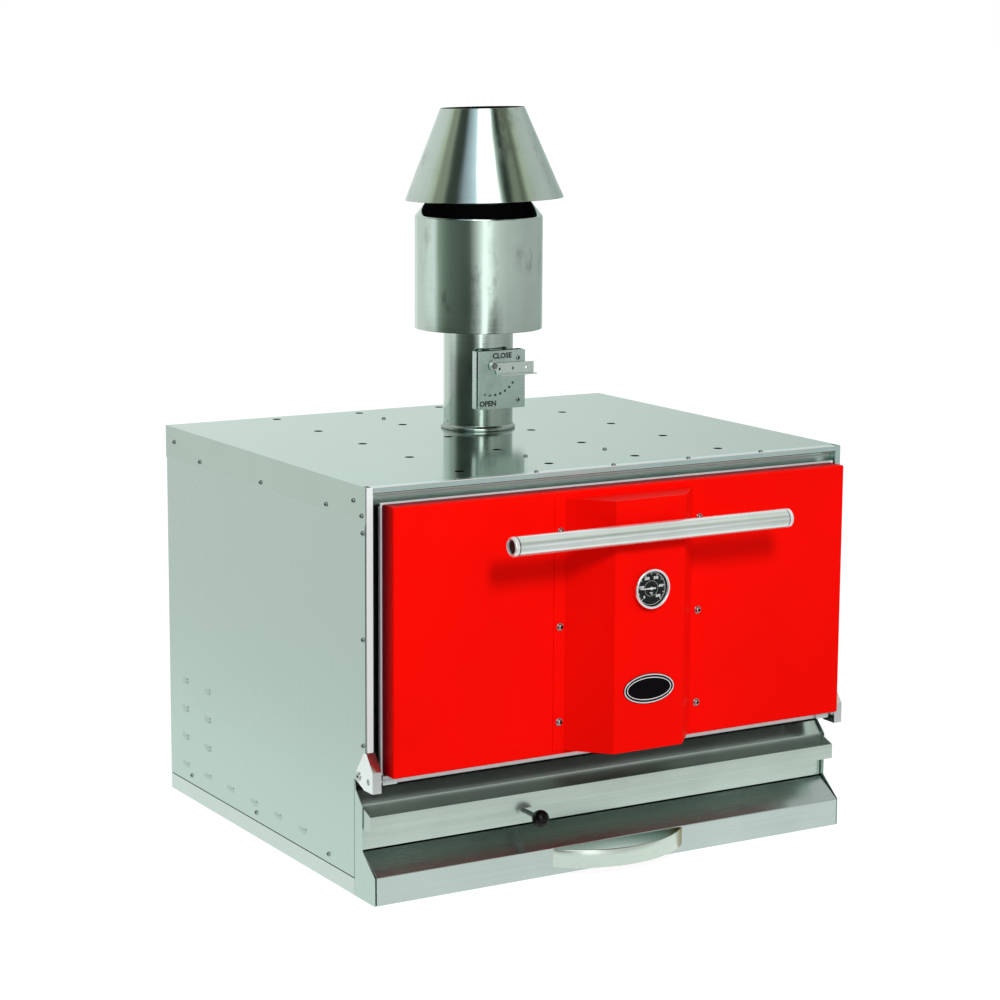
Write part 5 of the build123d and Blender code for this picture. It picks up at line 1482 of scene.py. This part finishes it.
@dataclass
class Thermometer(Assembly):
    """The dial thermometer in the centre cover."""

    body: str = "door"
    centre: Vector = field(default_factory=lambda: Vector((0.0, 0.0, 0.485)))
    front: float = -0.1145
    seat: float = -0.1055
    radius: float = 0.033
    ring: float = 0.004
    barrel: float = 0.029
    wall: float = 0.0015
    dial_y: float = -0.1085
    stem_radius: float = 0.003
    stem_end: float = 0.034
    barrel_end: float = -0.0835
    scale_start: float = -45.0
    scale_sweep: float = 270.0

    def case(self) -> None:
        """Makes the case: a rounded bezel, the barrel and the stem."""
        outline = [
            (self.barrel, self.barrel_end),
            (self.barrel, self.seat),
            (self.radius, self.seat),
            (self.radius, self.front + 0.0026),
            (self.radius - 0.0004, self.front + 0.0012),
            (self.radius - 0.0013, self.front + 0.0003),
            (self.radius - 0.0022, self.front),
            (self.radius - 0.0031, self.front + 0.0004),
            (self.radius - self.ring, self.front + 0.0016),
            (self.radius - self.ring, self.dial_y + 0.0008),
            (self.barrel - self.wall, self.dial_y + 0.0008),
            (self.barrel - self.wall, self.barrel_end - self.wall),
            (0.0, self.barrel_end - self.wall),
            (0.0, self.stem_end),
            (self.stem_radius, self.stem_end - 0.0005),
            (self.stem_radius, self.barrel_end),
        ]
        self.turn("thermometer_shell", "bezel_chrome", outline, self.centre, BACK, "thermometer_case")
        # The rim takes the chrome copy with the painted highlight.
        low, high, back = self.radius - self.ring + 0.0001, self.radius - 0.0006, self.front + 0.0012
        lines = [(low, back), (low, self.front - 0.0001), (low + 0.0005, self.front - 0.0005)]
        lines += [(high - 0.0008, self.front - 0.0005), (high, self.front + 0.0001), (high, back)]
        self.turn("thermometer_rim", "bezel_chrome", lines, self.centre, BACK, finish=HIGHLIGHT_CHROME)

    def dial(self, scale: DialScale) -> None:
        """Makes the dial with its ring, dashes and numbers.

        Args:
            scale: The tree that draws dashes.
        """
        face, raised = self.radius - self.ring - 0.0002, 0.0001
        outline = [(0.0, self.dial_y + 0.0007), (face, self.dial_y + 0.0007), (face, self.dial_y + 0.0001)]
        outline += [(face - 0.0004, self.dial_y), (0.0, self.dial_y)]
        self.turn("dial_disc", "dial_face", outline, self.centre, BACK, "thermometer_dial")
        middle = self.centre + Vector((0, self.dial_y, 0))
        for name, count, at, dash in (
            ("dial_long_dashes", 11, 0.0246, Vector((0.0038, 0.0002, 0.0011))),
            ("dial_short_dashes", 51, 0.0254, Vector((0.0018, 0.0002, 0.0004))),
        ):
            made = scale.draw(name, count, self.scale_start, self.scale_sweep, middle, at, dash, PRINT)
            self.dress(made, "dial_face", finish=PRINT)
        rings = bmesh.new()
        for inner, outer in ((0.0265, 0.0270), (0.0125, 0.0128)):
            lathe(rings, band(inner, outer, self.dial_y, self.dial_y - raised), self.centre, BACK, 64)
        self.dress(solid("dial_rings", rings), "dial_face", finish=PRINT)
        words, numbers, at = [], 6, 0.0188
        for number in range(numbers):
            angle = math.radians(self.scale_start + self.scale_sweep / (numbers - 1) * number)
            spot = middle + Vector((-at * math.cos(angle), -raised, at * math.sin(angle)))
            words.append((str(100 * number), spot, 0.0062))
        words.append(("°C", middle + Vector((0.0, -raised, -0.0085)), 0.0052))
        self.dress(lettering("dial_numbers", words, 0.0002, PRINT, 0.00028), "dial_face", finish=PRINT)

    def needle(self) -> None:
        """Makes the pointer with its domed hub."""
        form = bmesh.new()
        rear, front = self.dial_y - 0.0005, self.dial_y - 0.0013
        upper = [(-0.022, 0.00035), (0.0, 0.00125), (0.008, 0.00105)]
        blade = upper + [(along, -width) for along, width in reversed(upper)]
        slab(form, blade, rear, front, 0.0002, lambda u, v, h: Vector((u, h, self.centre.z + v)))
        hub = [(0.0, 0.0), (0.0025, 0.0), (0.0025, 0.0007), (0.0018, 0.0011), (0.0, 0.0012)]
        lathe(form, hub, self.centre + Vector((0, rear, 0)), -BACK, 24)
        self.dress(solid("dial_needle", form), "pointer_paint", "pointer", body="thermometer_needle")

    def glass(self) -> None:
        """Makes the slightly domed glass."""
        rim = self.radius - self.ring - 0.0001
        back = self.front + 0.0025
        outline = [(0.0, back), (rim, back), (rim, self.front + 0.0012), (0.66 * rim, self.front + 0.0007)]
        outline += [(0.33 * rim, self.front + 0.0004), (0.0, self.front + 0.0003)]
        self.turn("dial_lens", "clear_glass", outline, self.centre, BACK, "thermometer_glass", smooth=50)

    def build(self) -> list[str]:
        """Makes the thermometer and returns the names of its pieces."""
        self.case()
        self.dial(DialScale())
        self.needle()
        self.glass()
        return self.done


@dataclass
class AshDrawer(Assembly):
    """The ash drawer with its folded front and bow handle."""

    body: str = "ash_drawer"
    face: float = -0.0225
    bow_half: float = 0.128
    bow_rise: float = 0.050
    bow_low: float = 0.014
    bow_height: float = 0.0305
    strip: float = 0.003
    hem: float = 0.0065
    hem_drop: float = 0.0024

    def bow(self) -> None:
        """Makes the bow handle, a strip bent to an arc, with rounded edges."""

        def arc(half: float, rise: float, share: float) -> Vector:
            """Returns a point of an arc, from its left foot at 0 to its right foot at 1."""
            radius = (half * half + rise * rise) / (2 * rise)
            angle = math.asin(half / radius) * (2 * share - 1)
            return Vector((radius * math.sin(angle), self.face - rise + radius * (1 - math.cos(angle)), 0))

        ease, runs = 0.0009, 56
        across, up = ease / self.strip, ease / self.bow_height
        edge = [(0, up), (0.3 * across, 0.3 * up), (across, 0)]
        foot = edge + [(1 - u, v) for u, v in reversed(edge)]
        section = foot + [(u, 1 - v) for u, v in reversed(foot)]
        loops = []
        for index in range(runs + 1):
            outer = arc(self.bow_half, self.bow_rise, index / runs)
            inner = arc(self.bow_half - self.strip, self.bow_rise - self.strip, index / runs)
            heights = [Vector((0, 0, self.bow_low + self.bow_height * v)) for _, v in section]
            loops.append([outer.lerp(inner, u) + height for (u, _), height in zip(section, heights)])
        form = bmesh.new()
        loft(form, loops)
        self.dress(solid("bow_strip", form, 50), "bow_steel", "drawer_handle")

    def build(self) -> list[str]:
        """Makes the drawer and returns the names of its pieces."""
        self.fold("drawer_pan", "ash_pan", "drawer_sheet", 0.0012)
        front = self.fold("drawer_front", "drawer_fold", "drawer_sheet", 0.0014)
        for vertex in front.data.vertices:
            if vertex.co.z < self.hem:
                vertex.co.z -= self.hem_drop
        self.bow()
        return self.done


@dataclass
class AirControl(Assembly):
    """The air control: rod, valve disc and ball knob."""

    body: str = "air_control"
    centre: Vector = field(default_factory=lambda: Vector((-0.158, -0.031, 0.104)))
    radius: float = 0.01425
    rod: float = 0.004

    def build(self) -> list[str]:
        """Makes the air control and returns the names of its pieces."""
        self.fold("air_valve", "air_rod", "control_steel", 0.0004, smooth=30.0)
        flat = self.radius - 0.0022
        outline = [(0.0, flat), (0.0030, flat), (0.0042, self.radius - 0.0008)]
        steps, first, last = 14, 20, 164
        for index in range(steps + 1):
            angle = math.radians(first + (last - first) * index / steps)
            outline.append((self.radius * math.sin(angle), self.radius * math.cos(angle)))
        outline += [(self.rod, -0.0118), (self.rod, 0.0), (0.0, 0.0)]
        self.turn("ball_knob", "knob_plastic", outline, self.centre, -BACK, "air_knob", turns=40, smooth=40)
        return self.done


@dataclass
class Flue(Assembly):
    """The flue: collar, tube, expansion drum and open hat."""

    axis: Flat = (0.022, 0.487)
    radius: float = 0.062
    wall: float = 0.0012
    sleeve: float = 0.0623
    foot: float = 0.6245
    top: float = 0.900
    deck: float = 0.670
    drum_radius: float = 0.1135
    drum_low: float = 0.8487
    drum_shoulder: float = 1.0466
    drum_top: float = 1.072
    drum_throat: float = 0.093
    drum_floor: float = 0.8532
    hat_low: float = 1.077
    hat_rise: float = 0.159
    hat_radii: Flat = (0.1405, 0.0745)
    hat_shift: float = 0.0095
    hat_turn: float = -31.0
    hat_lean: float = 1.5
    liner: float = 0.0005

    def steel(
        self,
        name: str,
        outline: Sequence[Flat],
        *nodes: str,
        slot: str = "flue_steel",
        smooth: float = 40.0,
        finish: Finish | None = None,
        foot: Vector | None = None,
        axis: Vector = UP,
    ) -> None:
        """Turns one piece round the flue's axis, or round one of its own.

        Args:
            name: The piece's name.
            outline: Pairs of radius and height.
            *nodes: The node that it replaces, if any.
            slot: Its material slot.
            smooth: The angle up to which it shades smoothly.
            finish: Its finish, if it isn't the slot's own.
            foot: Where its own axis starts.
            axis: The direction of that axis.
        """
        start = foot or Vector((*self.axis, 0))
        self.turn(name, slot, braced(outline), start, axis, *nodes, turns=128, smooth=smooth, finish=finish)

    def hat(self) -> None:
        """Makes the hat, a leaning open cone, and its sooty lining."""
        turn, lean = math.radians(self.hat_turn), math.radians(self.hat_lean)
        side = Vector((math.cos(turn), math.sin(turn), 0))
        foot = Vector((*self.axis, self.hat_low)) + self.hat_shift * side
        axis = math.cos(lean) * UP - math.sin(lean) * side
        (low, high), rise, wall = self.hat_radii, self.hat_rise, self.wall - self.liner
        corners = [(low, 0.0), (high, rise), (high - wall, rise), (low - wall, 0.0)]
        self.steel("hat_cone", rounded(corners, 0.0003, 2), "hat", foot=foot, axis=axis)
        inset = 0.0004
        inner = [(low - self.wall, inset), (high - self.wall, rise - inset)]
        outline = [(radius + self.liner, height) for radius, height in reversed(inner)] + inner
        self.steel("hat_soot", outline, finish=SOOT, foot=foot, axis=axis)

    def build(self) -> list[str]:
        """Makes the flue and returns the names of its pieces."""
        self.steel("flue_pipe", band(self.radius - self.wall, self.radius, self.foot, self.top), "flue_tube")
        sleeve = self.sleeve
        bead = [(sleeve, 0.0), (0.0660, 0.0), (0.0668, 0.0008), (0.0670, 0.0022), (0.0666, 0.0040)]
        bead += [(0.0655, 0.0058), (0.0642, 0.0070), (0.0630, 0.0078), (0.0625, 0.0090), (sleeve, 0.0090)]
        bead = [(radius, self.deck + height) for radius, height in bead]
        self.steel("flue_bead", bead, "flue_collar", slot="collar_steel", smooth=60)
        wide, wall = self.drum_radius, self.wall
        corners = [
            (wide, self.drum_low),
            (wide, self.drum_shoulder),
            (self.drum_throat, self.drum_top),
            (self.drum_throat - wall, self.drum_top),
            (wide - wall, self.drum_shoulder - wall / 3),
            (wide - wall, self.drum_floor + wall),
            (sleeve, self.drum_floor + wall),
            (sleeve, self.drum_floor),
            (wide - wall, self.drum_floor),
            (wide - wall, self.drum_low),
        ]
        radii = [0.0004, 0.006, 0.0004, 0.0, 0.004, 0.0, 0.0, 0.0, 0.0, 0.0004]
        self.steel("drum_shell", rounded(corners, radii, 4), "drum")
        self.hat()
        self.keep(SOOT, "drum_baffle", "hat_struts")
        return self.done


@dataclass
class Damper(Assembly):
    """The flue damper with its bracket, dial plate, shaft, disc and lever."""

    face: float = 0.4042

    def build(self) -> list[str]:
        """Makes the damper and returns the names of its pieces."""
        self.fold("damper_bracket", "damper_channel", "damper_steel", 0.0008)
        self.fold("damper_dial", "damper_plate", "damper_steel", 0.0004)
        height, raised = 0.0130, 0.0001
        words = [
            (word, Vector((x, self.face - raised, z)), height)
            for word, x, z in (("CLOSE", 0.0225, 0.8062), ("OPEN", -0.006, 0.7225))
        ]
        self.dress(lettering("damper_words", words, 0.0002, MARK, 0.0005), "damper_steel", finish=MARK)
        self.body = "damper"
        self.keep(LEVER, "damper_lever")
        self.keep(FINISHES["control_steel"], "damper_shaft")
        self.keep(FINISHES["damper_steel"], "damper_disc")
        return self.done


@dataclass
class Studio:
    """The floor, the surround, the lamps and the camera."""

    camera_at: Colour = (-2.381739, -3.642645, 1.37038)
    yaw: float = 30.687
    pitch: float = 9.896
    roll: float = 0.333
    lens: float = 97.068
    ambient: float = 0.49
    fill_from: Flat = (0.95, -0.31)
    key_power: float = 54.0
    key_aim: Colour = (0.0, -0.10, 0.45)
    key_turn: float = -13.0
    key_rise: float = 38.0
    key_reach: float = 3.2
    key_size: float = 0.75
    floor_half: float = 40.0
    floor_glow: float = 0.875
    floor_tones: Flat = (0.345, 0.355)
    floor_plain: float = 0.75
    oven_half: float = 0.46
    oven_front: float = 0.02
    mirror_fade: Flat = (0.15, 0.75)
    level_edge: Flat = (0.1115, 0.1125)
    raised_edge: Flat = (0.14, 0.42)
    top_edge: Flat = (0.78, 0.84)
    top_light: Colour = (0.13, 0.14, 0.135)
    gain: float = 4.0

    def camera(self) -> None:
        """Sets the camera at the photograph's place and angle."""
        yaw, pitch, roll = (math.radians(angle) for angle in (self.yaw, self.pitch, self.roll))
        ahead = Vector((math.sin(yaw) * math.cos(pitch), math.cos(yaw) * math.cos(pitch), -math.sin(pitch)))
        right = Vector((math.cos(yaw), -math.sin(yaw), 0.0))
        right = math.cos(roll) * right + math.sin(roll) * right.cross(ahead)
        up = right.cross(ahead)
        data = bpy.data.cameras.new("camera")
        data.sensor_width, data.lens = 36.0, self.lens
        data.clip_start, data.clip_end = 0.05, 200.0
        camera = linked("camera", data)
        turned = Matrix((right, up, -ahead)).transposed().to_4x4()
        camera.matrix_world = Matrix.Translation(self.camera_at) @ turned
        bpy.context.scene.camera = camera

    def lamps(self) -> None:
        """Hangs one soft key lamp over the front."""
        turn, rise = math.radians(self.key_turn), math.radians(self.key_rise)
        aim = Vector(self.key_aim)
        away = Vector((math.sin(turn) * math.cos(rise), -math.cos(turn) * math.cos(rise), math.sin(rise)))
        data = bpy.data.lights.new("key_lamp", "AREA")
        data.shape, data.size, data.energy = "DISK", self.key_size, self.key_power
        lamp = linked("key_lamp", data)
        lamp.location = aim + away * self.key_reach
        lamp.rotation_euler = (-away).to_track_quat("-Z", "Y").to_euler()
        lamp.visible_glossy = False

    def floor(self) -> None:
        """Lays the pale floor, white where no shadow falls, and bright in metal only close to the oven."""
        half = self.floor_half
        form = bmesh.new()
        corners = ((-half, -half), (half, -half), (half, half), (-half, half))
        form.faces.new([form.verts.new((x, y, 0.0)) for x, y in corners])
        floor = solid("studio_floor", form, None)
        material = bpy.data.materials.new("studio_floor")
        material.use_nodes = True
        graph = Graph(material.node_tree)
        dark, pale = ((tone,) * 3 for tone in self.floor_tones)
        tone = graph.blend(graph.noise(graph.place(), 3.0, 2.0), dark, pale)
        glow = graph.lit("Emission", WHITE, self.floor_glow)
        seen = graph.node("ShaderNodeAddShader", {}, {0: glow, 1: graph.matt(tone)})
        sides = graph.part(graph.place(), "X").size() - self.oven_half
        front = graph.part(graph.place(), "Y") * -1.0 - self.oven_front
        near = 1.0 - sides.larger(front).step(*self.mirror_fade)
        clear = graph.node("ShaderNodeBsdfTransparent", {}, {"Color": WHITE})
        mirrored = graph.choose(near, clear, graph.lit("Emission", (0.96, 1.0, 0.98)))
        direct = graph.choose(graph.seen(), graph.matt((self.floor_plain,) * 3), seen)
        both = graph.choose(graph.ray("Glossy"), direct, mirrored)
        graph.node("ShaderNodeOutputMaterial", {}, {"Surface": both})
        floor.data.materials.append(material)

    def surround(self) -> None:
        """Paints the surround: white to the camera, plain light on matt surfaces, soft flags in metal."""
        world = bpy.data.worlds.new("studio")
        world.use_nodes = True
        bpy.context.scene.world = world
        world.cycles.sampling_method = "NONE"
        graph = Graph(world.node_tree)
        point = graph.node("ShaderNodeTexCoord", output="Generated")
        x, y, z = (graph.part(point, axis) for axis in "XYZ")
        yaw = math.radians(self.yaw)
        across = x * math.cos(yaw) - y * math.sin(yaw)
        toward = x * -math.sin(yaw) - y * math.cos(yaw)
        turn = across.turn(toward) / math.tau + 0.5
        plain, olive, blue = WHITE, (0.97, 1.0, 0.80), (0.86, 0.95, 1.12)
        green, moss = (0.90, 1.06, 0.92), (0.90, 1.0, 0.97)

        def ring(*stops: tuple[float, float, Colour]) -> Value:
            """Returns the light round the horizon from degrees, levels and hues, left to right."""
            placed = [
                ((degrees + 180) / 360, tuple(strength * part / self.gain for part in hue))
                for degrees, strength, hue in stops
            ]
            return graph.node("ShaderNodeValToRGB", {"stops": placed}, {"Fac": turn})

        first = ((-180, 0.84, moss), (-168, 0.98, moss), (-150, 0.84, plain), (-119, 0.86, plain))
        last = ((145, 0.50, moss), (168, 0.62, moss), (180, 0.84, moss))
        low = ring(
            *first,
            (-104, 0.54, plain), (-88, 0.46, plain), (-79, 0.26, plain), (-72, 0.11, green),
            (-60, 0.06, green), (-43, 0.05, green), (-28, 0.03, green), (-12, 0.04, green),
            (0, 0.10, green), (5, 0.30, plain),
            (9, 1.70, plain), (15, 1.70, plain), (18, 0.30, plain), (21, 0.06, green), (31, 0.08, green),
            (37, 0.34, plain), (49, 0.58, plain), (56, 0.48, plain), (80, 0.46, plain), (96, 0.38, plain),
            (120, 0.36, plain),
            *last,
        )
        level = ring(
            *first,
            (-98, 1.04, plain), (-85, 1.06, plain), (-74, 0.42, green), (-63, 0.25, green),
            (-52, 0.18, green), (-33, 0.14, green), (-22, 0.13, green), (-15, 0.16, green),
            (-6, 0.52, plain), (3, 1.05, plain),
            (12, 1.75, plain), (21, 1.60, plain), (30, 1.00, plain), (40, 0.80, plain), (52, 0.70, plain),
            (72, 0.65, plain), (96, 0.58, plain), (126, 0.55, plain),
            *last,
        )
        raised = ring(
            (-180, 0.90, plain), (-108, 0.84, plain), (-92, 0.66, olive), (-85, 0.36, olive),
            (-72, 0.36, olive), (-66, 0.12, green), (-60, 0.07, green), (-48, 0.07, green), (-42, 0.22, blue),
            (-36, 0.48, blue), (-25, 0.76, blue), (-13, 1.15, blue), (-7, 3.20, plain), (21, 3.20, plain),
            (26, 0.90, plain), (32, 0.30, green), (38, 0.05, green), (45, 0.06, green), (52, 0.30, olive),
            (60, 0.30, olive), (66, 0.18, olive), (71, 0.26, olive), (79, 0.62, olive), (95, 0.66, plain),
            (130, 0.70, plain), (180, 0.90, plain),
        )
        mirrored = graph.blend(z.size().step(*self.level_edge), level, low)
        mirrored = graph.blend(z.step(*self.raised_edge), mirrored, raised)
        mirrored = graph.blend(z.step(*self.top_edge), mirrored, self.top_light)
        side = (x * self.fill_from[0] + y * self.fill_from[1]) * 0.5 + 0.5
        fill = graph.blend(side, (0.0, 0.0, 0.0), (2 * self.ambient,) * 3)
        direct = graph.choose(graph.seen(), graph.lit("Background", fill), graph.lit("Background", WHITE))
        both = graph.choose(graph.ray("Glossy"), direct, graph.lit("Background", mirrored, self.gain))
        graph.node("ShaderNodeOutputWorld", {}, {"Surface": both})

    def build(self) -> None:
        """Sets up the whole studio."""
        bpy.context.scene.view_settings.view_transform = "Standard"
        self.camera()
        self.lamps()
        self.floor()
        self.surround()


def main() -> None:
    """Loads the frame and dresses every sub-assembly."""
    logging.basicConfig(level=logging.INFO, format="%(name)s: %(message)s")
    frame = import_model()
    nodes, repeat = frame["nodes"], Repeater()
    Studio().build()
    for kind in (Cabinet, Chamber, Door, Thermometer, AshDrawer, AirControl, Flue, Damper):
        for name in kind(nodes, repeat).build():
            LOG.info("%s: %s", kind.__name__, name)


if __name__ == "__main__":
    main()
